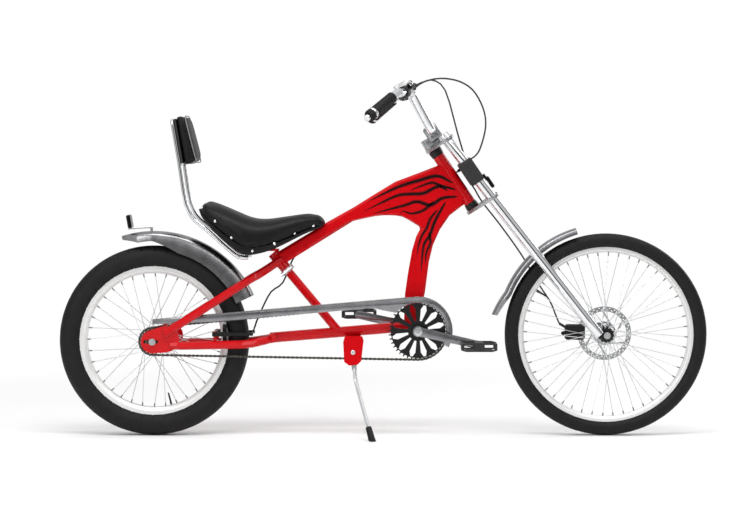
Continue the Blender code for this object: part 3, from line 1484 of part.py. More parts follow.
# Brake levers: a perch clamped on the bar by each grip, and its blade
PERCH_PLACE = (PERCH_FROM + PERCH_TO) / 2
PERCH_DIRECTION = (PERCH_TO - PERCH_FROM).normalized()
LEVER_PIVOT = Vector((-0.0600, -0.1720, 0.1330))
LEVER_TIP = Vector((-0.1080, -0.3000, 0.1200))
LEVER_AXIS = Vector((0.747, -0.217, -0.629)).normalized()


def perch(name, side):
    """The clamp band and the arm that holds the lever's pin and the cable's end."""
    centre = BAR_MIDDLE + mirrored(PERCH_PLACE, side)
    direction = mirrored(PERCH_DIRECTION, side)
    pivot = BAR_MIDDLE + mirrored(LEVER_PIVOT, side)
    axis = mirrored(LEVER_AXIS, side)
    made = cylinder(centre - direction * 0.010, centre + direction * 0.010, BAR_RADIUS + 0.0055, 12)
    nose = BAR_MIDDLE + mirrored(Vector((-0.0480, -0.1500, 0.1310)), side)
    stalk = cylinder(centre, pivot + (centre - pivot) * 0.30, 0.0095, 8)
    barrel = cylinder(pivot + (centre - pivot) * 0.42, nose, 0.0072, 8)
    ears = cylinder(pivot - axis * 0.0095, pivot + axis * 0.0095, 0.0090, 10)
    gap = cylinder(pivot - axis * 0.0036, pivot + axis * 0.0036, 0.0155, 10)
    wide = hole_radius(BAR_RADIUS + 2 * CLEAR, 10)
    bore = cylinder(centre - direction * 0.03, centre + direction * 0.03, wide, 10)
    join(made, stalk, barrel, ears)
    cut(made, gap, bore)
    return add(made, name, BLACK_PLASTIC)


def lever(name, side):
    """A curved alloy blade turning on the perch's pin."""
    pivot = BAR_MIDDLE + mirrored(LEVER_PIVOT, side)
    route = [
        Vector((0.0, 0.0, 0.0)),
        Vector((-0.004, -0.026, 0.006)),
        Vector((-0.016, -0.066, 0.006)),
        Vector((-0.033, -0.100, -0.004)),
        LEVER_TIP - LEVER_PIVOT,
    ]
    points = [tuple(pivot + mirrored(step, side)) for step in route]
    line = smooth(points, 2)
    widths = [0.85, 0.9, 1.0, 1.05, 1.05, 1.0, 0.95, 0.9, 1.15]
    made = tube_curve(line, 0.0045, 6, widths)
    axis = mirrored(LEVER_AXIS, side)
    blade = baked(made)
    eye = cylinder(pivot - axis * 0.0033, pivot + axis * 0.0033, 0.0080, 10)
    join(eye, blade)
    slab = [pivot - axis * 0.0033, pivot - axis * 0.02]
    cut(eye, cylinder(slab[0], slab[1], 0.0165, 10))
    slab = [pivot + axis * 0.0033, pivot + axis * 0.02]
    cut(eye, cylinder(slab[0], slab[1], 0.0165, 10))
    return add(eye, name, SILVER)


perch("lever_perch_right", -1)
perch("lever_perch_left", 1)
lever_right = lever("brake_lever_right", -1)
lever_left = lever("brake_lever_left", 1)

# Cable guide block round both fork legs
GUIDE_TOP = -0.053
GUIDE_END = -0.129
GUIDE_BACK = 0.031
GUIDE_FRONT = 0.075
guide = block(
    ((GUIDE_BACK + GUIDE_FRONT) / 2, 0.0, (GUIDE_TOP + GUIDE_END) / 2),
    (GUIDE_FRONT - GUIDE_BACK, 2 * (FORK_LEG_SPREAD + FORK_LEG_RADIUS + 0.004), GUIDE_TOP - GUIDE_END),
    STEERING,
    edge=0.004,
    segments=1,
)
stub_start = steering_point(GUIDE_BACK + 0.004, 0.034, -0.070)
stub_end = steering_point(GUIDE_BACK - 0.008, 0.034, -0.070)
guide_stub = cylinder(stub_start, stub_end, 0.0045, 10)
join(guide, guide_stub)
cut(guide, leg_bore(-1, GUIDE_END - 0.03, GUIDE_TOP + 0.03), leg_bore(1, GUIDE_END - 0.03, GUIDE_TOP + 0.03))
guide = add(guide, "cable_guide_block", BLACK_PLASTIC)

# Front reflector on a short bracket from the guide block's front face
REFLECTOR_PLACE = (0.083, -0.148)
reflector = block(
    (REFLECTOR_PLACE[0], 0.0, REFLECTOR_PLACE[1]), (0.011, 0.052, 0.038), STEERING, edge=0.003, segments=1
)
bracket_depth = REFLECTOR_PLACE[0] - GUIDE_FRONT - CLEAR
reflector_bracket = block(
    (REFLECTOR_PLACE[0] - bracket_depth / 2, 0.0, REFLECTOR_PLACE[1] + 0.020),
    (bracket_depth, 0.016, 0.020),
    STEERING,
)
join(reflector, reflector_bracket)
reflector = add(reflector, "front_reflector", BLACK_PLASTIC)


# Fenders: arched sheets about the wheels
def fender(centre, radius, half_width, start, end, rows, depth, spread, thickness):
    """Rows of points across an arched fender; depth and spread vary along it."""
    sheet = []
    for row in range(rows + 1):
        share = row / rows
        angle = start + (end - start) * share
        drop = depth(share)
        wide = half_width * spread(share)
        crown_radius = radius(share)
        points = []
        for across, fall in ((-1.0, 1.0), (-0.94, 0.38), (-0.50, 0.0), (0.50, 0.0), (0.94, 0.38), (1.0, 1.0)):
            reach = crown_radius - drop * fall
            points.append(
                (
                    centre[0] + reach * math.cos(angle),
                    wide * across,
                    centre[1] + reach * math.sin(angle),
                )
            )
        sheet.append(points)
    return shell(sheet if start < end else sheet[::-1], thickness)


def ramp(share, pairs):
    """Straight-line interpolation through (share, value) pairs."""
    for (a, low), (b, high) in zip(pairs, pairs[1:]):
        if share <= b:
            return low + (high - low) * (share - a) / (b - a)
    return pairs[-1][1]


REAR_FENDER_DEPTHS = ((0.0, 0.012), (0.10, 0.030), (0.20, 0.028), (0.30, 0.042), (0.40, 0.054), (1.0, 0.054))
rear_fender = fender(
    REAR_AXLE,
    lambda share: REAR_FENDER_RADIUS,
    REAR_FENDER_HALF_WIDTH,
    math.radians(107),
    math.radians(24.5),
    18,
    lambda share: ramp(share, REAR_FENDER_DEPTHS),
    lambda share: ramp(share, ((0.0, 0.55), (0.10, 0.90), (0.20, 1.0), (1.0, 1.0))),
    FENDER_THICKNESS,
)
add(baked(rear_fender), "rear_fender", DULL_CHROME)

FRONT_FENDER_RADIUS = FRONT_TYRE_RADIUS + FRONT_FENDER_GAP
front_fender = fender(
    FRONT_AXLE,
    lambda share: FRONT_FENDER_RADIUS + ramp(share, ((0.0, 0.003), (0.8, 0.0), (1.0, 0.018))),
    FRONT_FENDER_HALF_WIDTH,
    math.radians(106),
    math.radians(170),
    14,
    lambda share: ramp(share, ((0.0, 0.018), (0.85, 0.020), (1.0, 0.016))),
    lambda share: ramp(share, ((0.0, 1.0), (0.85, 1.0), (1.0, 0.75))),
    FENDER_THICKNESS,
)
front_fender = baked(front_fender)

# A bolt on each side holds the front fender between the fork legs
bolt_reach = FRONT_FENDER_RADIUS - 0.0113
bolt_ahead = leg_offset(bolt_reach - FORK_LENGTH)
bolt_up = math.sqrt(bolt_reach**2 - (FORK_OFFSET - bolt_ahead) ** 2) - FORK_LENGTH
bolt_ahead = leg_offset(bolt_up)
for side in (-1, 1):
    bolt_head = steering_point(bolt_ahead, side * (FRONT_FENDER_HALF_WIDTH - 0.004), bolt_up)
    bolt_end = steering_point(bolt_ahead, side * (FORK_LEG_SPREAD - FORK_LEG_RADIUS - CLEAR), bolt_up)
    join(front_fender, cylinder(bolt_head, bolt_end, 0.0042, 8))
add(front_fender, "front_fender", DULL_CHROME)

# Rear reflector on a strip bracket over the fender's tail
reflector_angle = math.radians(104)
tail = arc(REAR_AXLE, REAR_FENDER_RADIUS, reflector_angle, reflector_angle, 1)[0]
bracket_foot = REAR_AXLE[1] + REAR_FENDER_RADIUS + CLEAR
rear_bracket = outline_solid(
    [
        (REAR_AXLE[0] - 0.078, tail[1] + 0.014),
        (REAR_AXLE[0] - 0.075, tail[1] + 0.017),
        (REAR_AXLE[0] - 0.004, tail[1] + 0.0215),
        (REAR_AXLE[0] - 0.004, bracket_foot),
        (REAR_AXLE[0] - 0.010, bracket_foot),
        (REAR_AXLE[0] - 0.012, tail[1] + 0.0185),
        (REAR_AXLE[0] - 0.068, tail[1] + 0.0150),
    ],
    0.014,
    side_view(0.0),
)
add(rear_bracket, "rear_reflector_bracket", SILVER)
reflector_foot = Matrix.Translation((REAR_AXLE[0] - 0.0685, 0.0, tail[1] + 0.0182))
rear_reflector = block(
    (0.0, 0.0, 0.020),
    (0.0120, 0.060, 0.040),
    reflector_foot @ Matrix.Rotation(math.radians(-10), 4, "Y"),
    edge=0.003,
    segments=1,
)
add(rear_reflector, "rear_reflector", BLACK_PLASTIC)

# Chain guard: a side plate with a turned-in rim over the chain
GUARD_BAND = 0.0175
GUARD_OUTER = RING_RADIUS + 0.0165
GUARD_TIP = math.radians(-28)


def guard_outline(inset, beyond):
    """The guard's side view. Its hollow is inset from the upper edge and runs beyond the lower one."""
    outer = GUARD_OUTER - inset
    tip = GUARD_TIP - beyond / outer
    rear_low = (REAR_AXLE[0] - 0.001 + inset, REAR_AXLE[1] + 0.0505 - beyond)
    rear_high = (REAR_AXLE[0] - 0.001 + inset, REAR_AXLE[1] + 0.0650 - inset)
    turn_in = (REAR_AXLE[0] + 0.180, REAR_AXLE[1] + 0.0812 - inset)
    over = arc(BRACKET, outer, math.radians(99), tip, 13)
    inside = arc(BRACKET, GUARD_OUTER - GUARD_BAND - beyond, tip, math.radians(140), 12)
    under = [
        (BRACKET[0] - 0.104, BRACKET[1] + 0.061 - beyond),
        (BRACKET[0] - 0.122, BRACKET[1] + 0.066 - beyond),
        (BRACKET[0] - 0.150, BRACKET[1] + 0.0665 - beyond),
        (BRACKET[0] - 0.190, BRACKET[1] + 0.063 - beyond),
        (REAR_AXLE[0] + 0.178, REAR_AXLE[1] + 0.058 - beyond),
    ]
    return [rear_low, rear_high, turn_in, *over, *inside, *under]


GUARD_RIM_IN = CHAIN_LINE - CHAIN_OUTER_WIDTH / 2 - 0.0025
guard = outline_solid(
    guard_outline(0.0, 0.0),
    GUARD_LATERAL + GUARD_SHEET - GUARD_RIM_IN,
    side_view(-(GUARD_LATERAL + GUARD_SHEET + GUARD_RIM_IN) / 2),
)
hollow = outline_solid(
    guard_outline(GUARD_SHEET, 0.010),
    GUARD_LATERAL,
    side_view(-GUARD_LATERAL / 2),
)
cut(guard, hollow)
add(guard, "chain_guard", DULL_CHROME)

# Kickstand: a flat eye with its pin, a round leg bent outwards and a rubber foot
KICK_LEG_RADIUS = 0.0058
KICK_FOOT_CLEARANCE = 0.0012
KICK_FOOT = Vector((BRACKET[0] - 0.135, -0.172, KICK_FOOT_CLEARANCE))
KICK_FOOT_LENGTH = 0.040
knee = KICK_FRAME @ Vector((0.006, -0.068, 0.0))
shin = KICK_FRAME @ Vector((0.012, -0.100, 0.002))
toe = KICK_FOOT + Vector((0.0, 0.0, 0.004))
kick_eye = hull_of_circles([((0.0, 0.0), 0.0115), ((0.004, -0.052), 0.0065)], 10)
kick_leg = outline_solid(kick_eye, KICK_GAP - 2 * CLEAR, KICK_FRAME)
kick_pin = cylinder(
    KICK_PIVOT - KICK_AXIS * (KICK_GAP / 2 + KICK_PLATE + 0.0004),
    KICK_PIVOT + KICK_AXIS * (KICK_GAP / 2 + KICK_PLATE + 0.0004),
    0.0040,
    10,
)
kick_route = [tuple(KICK_FRAME @ Vector((0.0036, -0.046, 0.0))), tuple(knee), tuple(shin), tuple(toe)]
kick_tube = tube(smooth(kick_route, 2), KICK_LEG_RADIUS, 8, [0.55, 0.8, 1.0, 1.0, 1.0, 1.0, 1.0])
join(kick_leg, kick_pin, kick_tube)
foot_direction = (toe - shin).normalized()
foot_top = toe - foot_direction * KICK_FOOT_LENGTH
kick_foot = cylinder(foot_top, toe + foot_direction * 0.020, 0.0088, 12, 0.0108)
leg_end = cylinder(toe - foot_direction * 0.008, toe + foot_direction * 0.05, 0.02, 10)
cut(kick_leg, leg_end)
foot_bore = cylinder(
    foot_top - foot_direction * 0.01,
    toe - foot_direction * (0.008 - CLEAR),
    hole_radius(KICK_LEG_RADIUS + 0.001, 10),
    10,
)
ground = block((KICK_FOOT[0], KICK_FOOT[1], KICK_FOOT_CLEARANCE - 0.05), (0.2, 0.2, 0.1))
cut(kick_foot, foot_bore, ground)
kick_leg = add(kick_leg, "kickstand_leg", SILVER)
kick_foot = add(kick_foot, "kickstand_foot", RUBBER)

# Rear rim brake on the chain stays: two arms that swing about upright studs
PAD_GAP = 0.0020
PAD_AHEAD = 0.0270
BRAKE_ARM_LENGTH = 0.107


def rear_brake_arm(name, side):
    """An arm with its rim pad; the left one carries the curved cable noodle."""
    lateral = side * BRAKE_PIVOT_LATERAL
    frame = Matrix.Translation((BRAKE_PIVOT[0], 0.0, BRAKE_PIVOT[1]))
    band = hull_of_circles([((0.0, lateral), 0.0090), ((PAD_AHEAD + 0.012, lateral), 0.0060)], 10)
    made = outline_solid(band, BRAKE_ARM_HEIGHT, frame)
    upper = hull_of_circles([((PAD_AHEAD, lateral), 0.0052), ((BRAKE_ARM_LENGTH, lateral), 0.0048)], 8)
    pad_face = side * (REAR_RIM_WIDTH / 2 + PAD_GAP)
    pad_back = side * (REAR_RIM_WIDTH / 2 + PAD_GAP + 0.010)
    pad = block(
        (PAD_AHEAD, (pad_face + pad_back) / 2, 0.001), (0.012, abs(pad_back - pad_face), 0.052), frame
    )
    post = cylinder(
        frame @ Vector((PAD_AHEAD, (pad_face + pad_back) / 2, 0.0)),
        frame @ Vector((PAD_AHEAD, side * (BRAKE_PIVOT_LATERAL + 0.009), 0.0)),
        0.0034,
        8,
    )
    join(made, outline_solid(upper, BRAKE_ARM_HEIGHT * 0.7, frame), pad, post)
    if side > 0:
        end = Vector((BRAKE_ARM_LENGTH, lateral, 0.0))
        route = [
            end + Vector((-0.0005, -0.002, 0.004)),
            end + Vector((0.001, 0.008, 0.006)),
            end + Vector((0.004, 0.020, 0.016)),
            end + Vector((0.010, 0.026, 0.034)),
            end + Vector((0.018, 0.024, 0.052)),
        ]
        placed = [tuple(frame @ step) for step in route]
        join(made, tube(smooth(placed, 2), 0.0028, 6))
    else:
        end = Vector((BRAKE_ARM_LENGTH, lateral, 0.0))
        boot = cylinder(
            frame @ (end + Vector((0.0, 0.002, 0.0))), frame @ (end + Vector((0.0, 0.075, 0.0))), 0.0030, 8
        )
        join(made, boot)
    stud = Vector((0.0, lateral, 0.0))
    reach = Vector((0.0, 0.0, 0.03))
    cut(made, cylinder(frame @ (stud - reach), frame @ (stud + reach), hole_radius(STUD_RADIUS, 8), 8))
    return add(made, name, BLACK_METAL)


arm_right = rear_brake_arm("rear_brake_arm_right", -1)
arm_left = rear_brake_arm("rear_brake_arm_left", 1)

# Disc caliper bolted to the left leg's tab, with its cable arm
CALIPER_OUT = FRONT_DROPOUT_GAP / 2 - CLEAR
CALIPER_IN = 0.0235
caliper_body = block(
    (CALIPER[0], (CALIPER_IN + CALIPER_OUT) / 2, CALIPER[1]),
    (0.060, CALIPER_OUT - CALIPER_IN, 0.046),
    edge=0.005,
    segments=1,
)
rotor_slot = lathe(
    [
        (0.0, ROTOR_LATERAL + ROTOR_THICKNESS / 2 + 0.0009),
        (ROTOR_RADIUS + 0.002, ROTOR_LATERAL + ROTOR_THICKNESS / 2 + 0.0009),
        (ROTOR_RADIUS + 0.002, ROTOR_LATERAL - ROTOR_THICKNESS / 2 - 0.0009),
        (0.0, ROTOR_LATERAL - ROTOR_THICKNESS / 2 - 0.0009),
    ],
    24,
    FRONT_WHEEL,
)
cut(caliper_body, rotor_slot)
ARM_PIVOT = (CALIPER[0] - 0.0095, CALIPER[1] - 0.002)
ARM_BOSS = 0.0580
boss = cylinder(side_point(ARM_PIVOT, CALIPER_OUT - 0.01), side_point(ARM_PIVOT, ARM_BOSS), 0.0045, 10)
stop_start = (CALIPER[0] - 0.0250, 0.0440, CALIPER[1] + 0.012)
stop_tip = (CALIPER[0] - 0.0450, 0.0540, CALIPER[1] + 0.024)
stop = cylinder(stop_start, stop_tip, 0.0042, 8)
join(caliper_body, boss, stop)
caliper_body = add(caliper_body, "caliper_body", BLACK_METAL)
caliper_end = (ARM_PIVOT[0] - 0.025, ARM_PIVOT[1] - 0.003)
caliper_arm = outline_solid(
    hull_of_circles([(ARM_PIVOT, 0.0080), (caliper_end, 0.0055)], 14),
    0.0045,
    side_view(CALIPER_OUT + 0.0028),
    [arc(ARM_PIVOT, 0.0045 + CLEAR, 0.0, math.tau * 11 / 12, 11)],
)
caliper_arm = add(caliper_arm, "caliper_arm", BLACK_METAL)

# Seat: a pan that follows the underside and a padded top, lofted through the same stations
SEAT_STATIONS = (
    ((0.1480, 0.4080), (0.1320, 0.3870), 0.060),
    ((0.1560, 0.4120), (0.1480, 0.3580), 0.088),
    ((0.1910, 0.4015), (0.1910, 0.3138), 0.108),
    ((0.2473, 0.3773), (0.2331, 0.2773), 0.115),
    ((0.2898, 0.3605), (0.2644, 0.2575), 0.115),
    ((0.3319, 0.3560), (0.2980, 0.2552), 0.110),
    ((0.3886, 0.3631), (0.3461, 0.2673), 0.098),
    ((0.4450, 0.3717), (0.3886, 0.2855), 0.080),
    ((0.4815, 0.3758), (0.4450, 0.3139), 0.063),
    ((0.5000, 0.3640), (0.4880, 0.3310), 0.050),
    ((0.5080, 0.3500), (0.5010, 0.3380), 0.034),
)
PAN_SHARE = 0.17


def padded_loft(stations, ring, crown, low, steps):
    """A solid lofted through stations of a top point, a bottom point and a half width.

    The ring holds (share across, share up) points of each cross-section, whose crown falls
    away to both sides above the share called low.
    """
    fine = smooth([(*top, *bottom, wide) for top, bottom, wide in stations], steps)
    mesh = bpy.data.meshes.new("loft")
    verts = []
    for tx, tz, bx, bz, wide in fine:
        for across, up in ring:
            lift = up - crown * max(0.0, up - low) * across * across
            verts.append(
                (REAR_AXLE[0] + bx + (tx - bx) * lift, across * wide, REAR_AXLE[1] + bz + (tz - bz) * lift)
            )
    count = len(ring)
    faces = [tuple(range(count)), tuple(range(len(verts) - 1, len(verts) - 1 - count, -1))]
    for row in range(len(fine) - 1):
        for column in range(count):
            following = (column + 1) % count
            near = row * count
            far = near + count
            faces.append((near + column, far + column, far + following, near + following))
    mesh.from_pydata(verts, [], faces)
    shape = bmesh.new()
    shape.from_mesh(mesh)
    bmesh.ops.recalc_face_normals(shape, faces=shape.faces)
    shape.to_mesh(mesh)
    shape.free()
    return mesh_object(mesh)


def both_sides(points):
    """A cross-section given from its lower middle round the left side, completed on the right."""
    return points + [(-x, y) for x, y in reversed(points) if x]


PAN_TOP = PAN_SHARE - 0.012
pan_ring = both_sides([(0.0, 0.0), (0.78, 0.0), (0.90, 0.02), (0.94, PAN_TOP), (0.0, PAN_TOP)])
cushion_sides = [(0.95, PAN_SHARE), (1.0, 0.30), (1.0, 0.62), (0.93, 0.85), (0.74, 0.98), (0.40, 1.0)]
cushion_ring = both_sides([(0.0, PAN_SHARE), *cushion_sides, (0.0, 1.0)])
seat_base = padded_loft(SEAT_STATIONS, pan_ring, 0.0, PAN_SHARE, 2)
cushion = padded_loft(SEAT_STATIONS, cushion_ring, 0.10, PAN_SHARE, 2)
spine_along = Vector((HEAD_UPPER[0] - SEAT_KNOT[0], 0.0, HEAD_UPPER[1] - SEAT_KNOT[1])).normalized()
spine_frame = Matrix.Translation(side_point(SEAT_KNOT, 0.0)) @ Matrix.Rotation(
    -math.atan2(spine_along[2], spine_along[0]), 4, "Y"
)
for piece in (seat_base, cushion):
    channel = block((0.145, 0.0, -0.030), (0.250, 2 * SPINE_HALF_THICKNESS + 0.004, 0.104), spine_frame)
    cut(piece, channel)
plate_length, plate_width, plate_height = SEAT_PLATE_SIZE
pocket = block(
    (SLEEVE_TOP[0], 0.0, SLEEVE_TOP[1] - 0.020),
    (plate_length + 2 * CLEAR, plate_width + 2 * CLEAR, 0.040 + plate_height + 2 * CLEAR),
)
cut(seat_base, pocket)
add(seat_base, "seat_base", BLACK_PLASTIC)
add(cushion, "seat_cushion", VINYL)

# Sissy bar: one bent tube loop that carries the backrest
SISSY_ROUTE = (
    (0.2830, 0.2385),
    (0.2500, 0.2500),
    (0.2130, 0.2810),
    (0.1660, 0.3250),
    (0.1250, 0.3590),
    (0.1055, 0.3920),
    (0.0965, 0.4255),
    (0.0835, 0.5134),
    (0.0630, 0.6360),
)
SISSY_TOP = (0.0612, 0.6470)


def sissy_half(side):
    made = []
    for index, (x, z) in enumerate(SISSY_ROUTE):
        inset = 0.020 if index == 0 else 0.0
        made.append((REAR_AXLE[0] + x, side * (SISSY_HALF_WIDTH - inset), REAR_AXLE[1] + z))
    x = REAR_AXLE[0] + SISSY_TOP[0]
    z = REAR_AXLE[1] + SISSY_TOP[1]
    made.append((x + 0.0008, side * (SISSY_HALF_WIDTH - 0.004), z - 0.005))
    made.append((x, side * (SISSY_HALF_WIDTH - 0.022), z))
    return made


def pan_bolt(station, lateral, start, short):
    """A bolt from the bar up to the pan's underside at one of the seat's stations."""
    x, z = SEAT_STATIONS[station][1]
    seat = Vector((REAR_AXLE[0] + x, lateral, REAR_AXLE[1] + z))
    foot = Vector((REAR_AXLE[0] + start[0], lateral, REAR_AXLE[1] + start[1]))
    return cylinder(foot, seat - (seat - foot).normalized() * short, 0.0032, 8)


sissy_path = smooth(sissy_half(1) + sissy_half(-1)[::-1], 1)
sissy_bar = tube(sissy_path, SISSY_TUBE_RADIUS, 8)
for side in (-1, 1):
    front_bolt = pan_bolt(4, side * 0.0760, (0.2644, 0.2450), 4 * CLEAR)
    rear_bolt = pan_bolt(2, side * 0.0800, (0.1836, 0.3060), 2 * CLEAR)
    join(sissy_bar, front_bolt, rear_bolt)
sissy_bar = add(sissy_bar, "sissy_bar", CHROME)

pad_low = Vector((REAR_AXLE[0] + SISSY_ROUTE[7][0], 0.0, REAR_AXLE[1] + SISSY_ROUTE[7][1]))
pad_high = Vector((REAR_AXLE[0] + SISSY_ROUTE[8][0], 0.0, REAR_AXLE[1] + SISSY_ROUTE[8][1]))
pad_up = (pad_high - pad_low).normalized()
pad_front = Vector((pad_up[2], 0.0, -pad_up[0]))
pad_turn = Matrix((pad_front, Vector((0.0, 1.0, 0.0)), pad_up)).transposed()
pad_frame = Matrix.Translation(pad_low) @ pad_turn.to_4x4()
PLATE_THICKNESS = 0.005
pad_plate = block(
    (SISSY_TUBE_RADIUS + CLEAR + PLATE_THICKNESS / 2, 0.0, 0.0735),
    (PLATE_THICKNESS, 2 * PAD_HALF_WIDTH - 0.016, PAD_HEIGHT - 0.016),
    pad_frame,
)
add(pad_plate, "backrest_plate", BLACK_PLASTIC)
pad_back = SISSY_TUBE_RADIUS + 2 * CLEAR + PLATE_THICKNESS


def pad_station(up, fullness, draw_in):
    """The pad's front and back points at a height, relative to the rear axle, and its half width."""
    thick = PAD_LOW_THICKNESS + (PAD_TOP_THICKNESS - PAD_LOW_THICKNESS) * up / PAD_HEIGHT
    points = []
    for ahead in (pad_back + thick * fullness, pad_back):
        place = pad_frame @ Vector((ahead, 0.0, up))
        points.append((place[0] - REAR_AXLE[0], place[2] - REAR_AXLE[1]))
    return points[0], points[1], PAD_HALF_WIDTH - draw_in


pad_stations = [
    pad_station(0.0, 0.35, 0.014),
    pad_station(0.003, 0.66, 0.006),
    pad_station(0.012, 0.90, 0.001),
    pad_station(0.036, 0.99, 0.0),
    pad_station(PAD_HEIGHT / 2, 1.0, 0.002),
    pad_station(PAD_HEIGHT - 0.034, 0.99, 0.0),
    pad_station(PAD_HEIGHT - 0.011, 0.90, 0.001),
    pad_station(PAD_HEIGHT - 0.003, 0.66, 0.006),
    pad_station(PAD_HEIGHT, 0.35, 0.014),
]
pad_sides = [(0.93, 0.0), (1.0, 0.16), (1.0, 0.58), (0.95, 0.84), (0.80, 0.97), (0.45, 1.0)]
pad_ring = both_sides([(0.0, 0.0), *pad_sides, (0.0, 1.0)])
pad = padded_loft(pad_stations, pad_ring, 0.06, 0.3, 1)
add(pad, "backrest_pad", VINYL)

# Cables: from the levers over to the guide block, and down the left leg to the caliper
def guide_entry(lateral, height, ahead=0.0):
    """A point over the guide block's two entry holes."""
    return steering_point(GUIDE_FRONT - 0.009 + ahead, lateral, GUIDE_TOP + height)


guide_mouth = steering_point(GUIDE_FRONT + CLEAR, -0.014, GUIDE_TOP - 0.0075)
left_nose = BAR_MIDDLE + Vector((-0.0480, 0.1500, 0.1310))
right_nose = BAR_MIDDLE + Vector((-0.0480, -0.1500, 0.1310))
left_cable_route = [
    tuple(left_nose + Vector((0.0006, -0.0008, 0.0))),
    tuple(left_nose + Vector((0.014, -0.026, 0.010))),
    tuple(left_nose + Vector((0.050, -0.070, 0.022))),
    tuple(left_nose + Vector((0.090, -0.098, -0.010))),
    tuple(guide_entry(0.024, 0.080, 0.020)),
    tuple(guide_entry(0.014, 0.018)),
    tuple(guide_entry(0.014, CLEAR)),
]
right_cable_route = [
    tuple(right_nose + Vector((0.0006, 0.0008, 0.0))),
    tuple(right_nose + Vector((0.0160, 0.0120, 0.0080))),
    tuple(right_nose + Vector((0.0500, 0.0180, 0.0180))),
    tuple(right_nose + Vector((0.0860, 0.0240, 0.0205))),
    tuple(right_nose + Vector((0.1289, 0.0380, 0.0120))),
    tuple(right_nose + Vector((0.1657, 0.0550, -0.0108))),
    tuple(right_nose + Vector((0.1916, 0.0750, -0.0497))),
    tuple(right_nose + Vector((0.2050, 0.0950, -0.0911))),
    tuple(right_nose + Vector((0.2045, 0.1140, -0.1327))),
    tuple(guide_mouth + 0.030 * AXIS_FORWARD + Vector((0.0, 0.0, 0.010))),
    tuple(guide_mouth + 0.012 * AXIS_FORWARD),
    tuple(guide_mouth),
]


def cable(name, route, steps=3):
    """A cable housing along a smooth curve, running straight into what holds its two ends."""
    line = [route[0], *smooth(route[1:-1], steps), route[-1]]
    return add(tube_curve(line, CABLE_RADIUS, 8), name, BLACK_PLASTIC)


cable("front_brake_cable_upper", left_cable_route)
cable("rear_brake_cable_upper", right_cable_route)
stop_end = Vector((CALIPER[0] - 0.0455, 0.0543, CALIPER[1] + 0.0243))
front_lower_route = [
    tuple(steering_point(0.0355, 0.070, GUIDE_END - CLEAR)),
    tuple(steering_point(0.0355, 0.070, GUIDE_END - 0.016)),
    tuple(steering_point(0.0330, 0.074, -LOWER_CROWN)),
    tuple(side_point((0.348, 0.620), 0.070)),
    tuple(side_point((0.413, 0.529), 0.064)),
    tuple(side_point((0.462, 0.445), 0.059)),
    tuple(side_point((0.497, 0.392), 0.057)),
    tuple(stop_end + Vector((-0.012, 0.003, 0.030))),
    tuple(stop_end + Vector((-0.0004, 0.0003, 0.0010))),
]
cable("front_brake_cable_lower", front_lower_route)

# The rear brake's cable: round the head tube, along the left of the spine and down to the arm
ALONG_FRAME = SPINE_HALF_THICKNESS + CABLE_RADIUS + CLEAR


def on_spine(share, rise, lift=0.0):
    return tuple(side_point(part_way(SEAT_KNOT, HEAD_UPPER, share, rise), ALONG_FRAME + lift))


arm_end = Vector((BRAKE_PIVOT[0] + BRAKE_ARM_LENGTH, BRAKE_PIVOT_LATERAL, BRAKE_PIVOT[1]))
NOODLE_TIP = arm_end + Vector((0.018, 0.024, 0.052))
NOODLE_GAP = 0.0015
crossover_end = Vector(on_spine(0.885, -0.058, 0.001))
rear_route = [
    tuple(crossover_end),
    on_spine(0.80, -0.045, 0.001),
    on_spine(0.62, -0.020, 0.0005),
    on_spine(0.40, -0.008),
    on_spine(0.15, -0.006, 0.0015),
    tuple(side_point((SEAT_KNOT[0] + 0.034, SEAT_KNOT[1] - 0.010), 0.030)),
    tuple(side_point((SEAT_KNOT[0] + 0.006, SEAT_KNOT[1] - 0.075), 0.052)),
    tuple(NOODLE_TIP + Vector((0.034, -0.008, 0.066))),
    tuple(NOODLE_TIP + Vector((0.0090, -0.0022, 0.0200))),
    tuple(NOODLE_TIP + NOODLE_GAP * Vector((0.404, -0.101, 0.909))),
]
cable("rear_brake_cable", rear_route)
stub_tip = steering_point(GUIDE_BACK - 0.008 - CLEAR, 0.034, -0.070)
toward_spine = (Vector(on_spine(0.80, -0.045, 0.001)) - crossover_end).normalized()
crossover_route = [
    tuple(stub_tip),
    tuple(stub_tip - AXIS_FORWARD * 0.012),
    tuple((stub_tip + crossover_end) / 2 + Vector((-0.004, 0.014, 0.006))),
    tuple(crossover_end - toward_spine * 0.012),
    tuple(crossover_end - toward_spine * CLEAR),
]
cable("rear_brake_cable_crossover", crossover_route)

# Moving pieces hang on empties that stand on their joints' axes
bpy.context.view_layer.update()
pieces = bicycle.objects


def hang(name, position, *names):
    return parent_to(name, position, [pieces[piece] for piece in names])


steering_axis = hang(
    "steering_axis",
    HEAD_TOP,
    "crown_upper",
    "crown_lower_and_steerer",
    "fork_leg_left",
    "fork_leg_right",
    "stem_clamp",
    "handlebar",
    "grip_left",
    "grip_right",
    "lever_perch_left",
    "lever_perch_right",
    "cable_guide_block",
    "front_reflector",
    "front_fender",
    "front_axle_and_nuts",
    "caliper_body",
    "front_brake_cable_upper",
    "front_brake_cable_lower",
    "rear_brake_cable_upper",
)
wheel_pieces = ("front_tyre", "front_rim", "front_hub_and_spokes", "brake_rotor", "front_valve")
front_spin = hang("front_wheel_axis", side_point(FRONT_AXLE, 0.0), *wheel_pieces)
caliper_pivot = hang("caliper_arm_axis", side_point(ARM_PIVOT, 0.0), "caliper_arm")
lever_axis_left = hang("brake_lever_left_axis", BAR_MIDDLE + mirrored(LEVER_PIVOT, 1), "brake_lever_left")
lever_axis_right = hang("brake_lever_right_axis", BAR_MIDDLE + mirrored(LEVER_PIVOT, -1), "brake_lever_right")
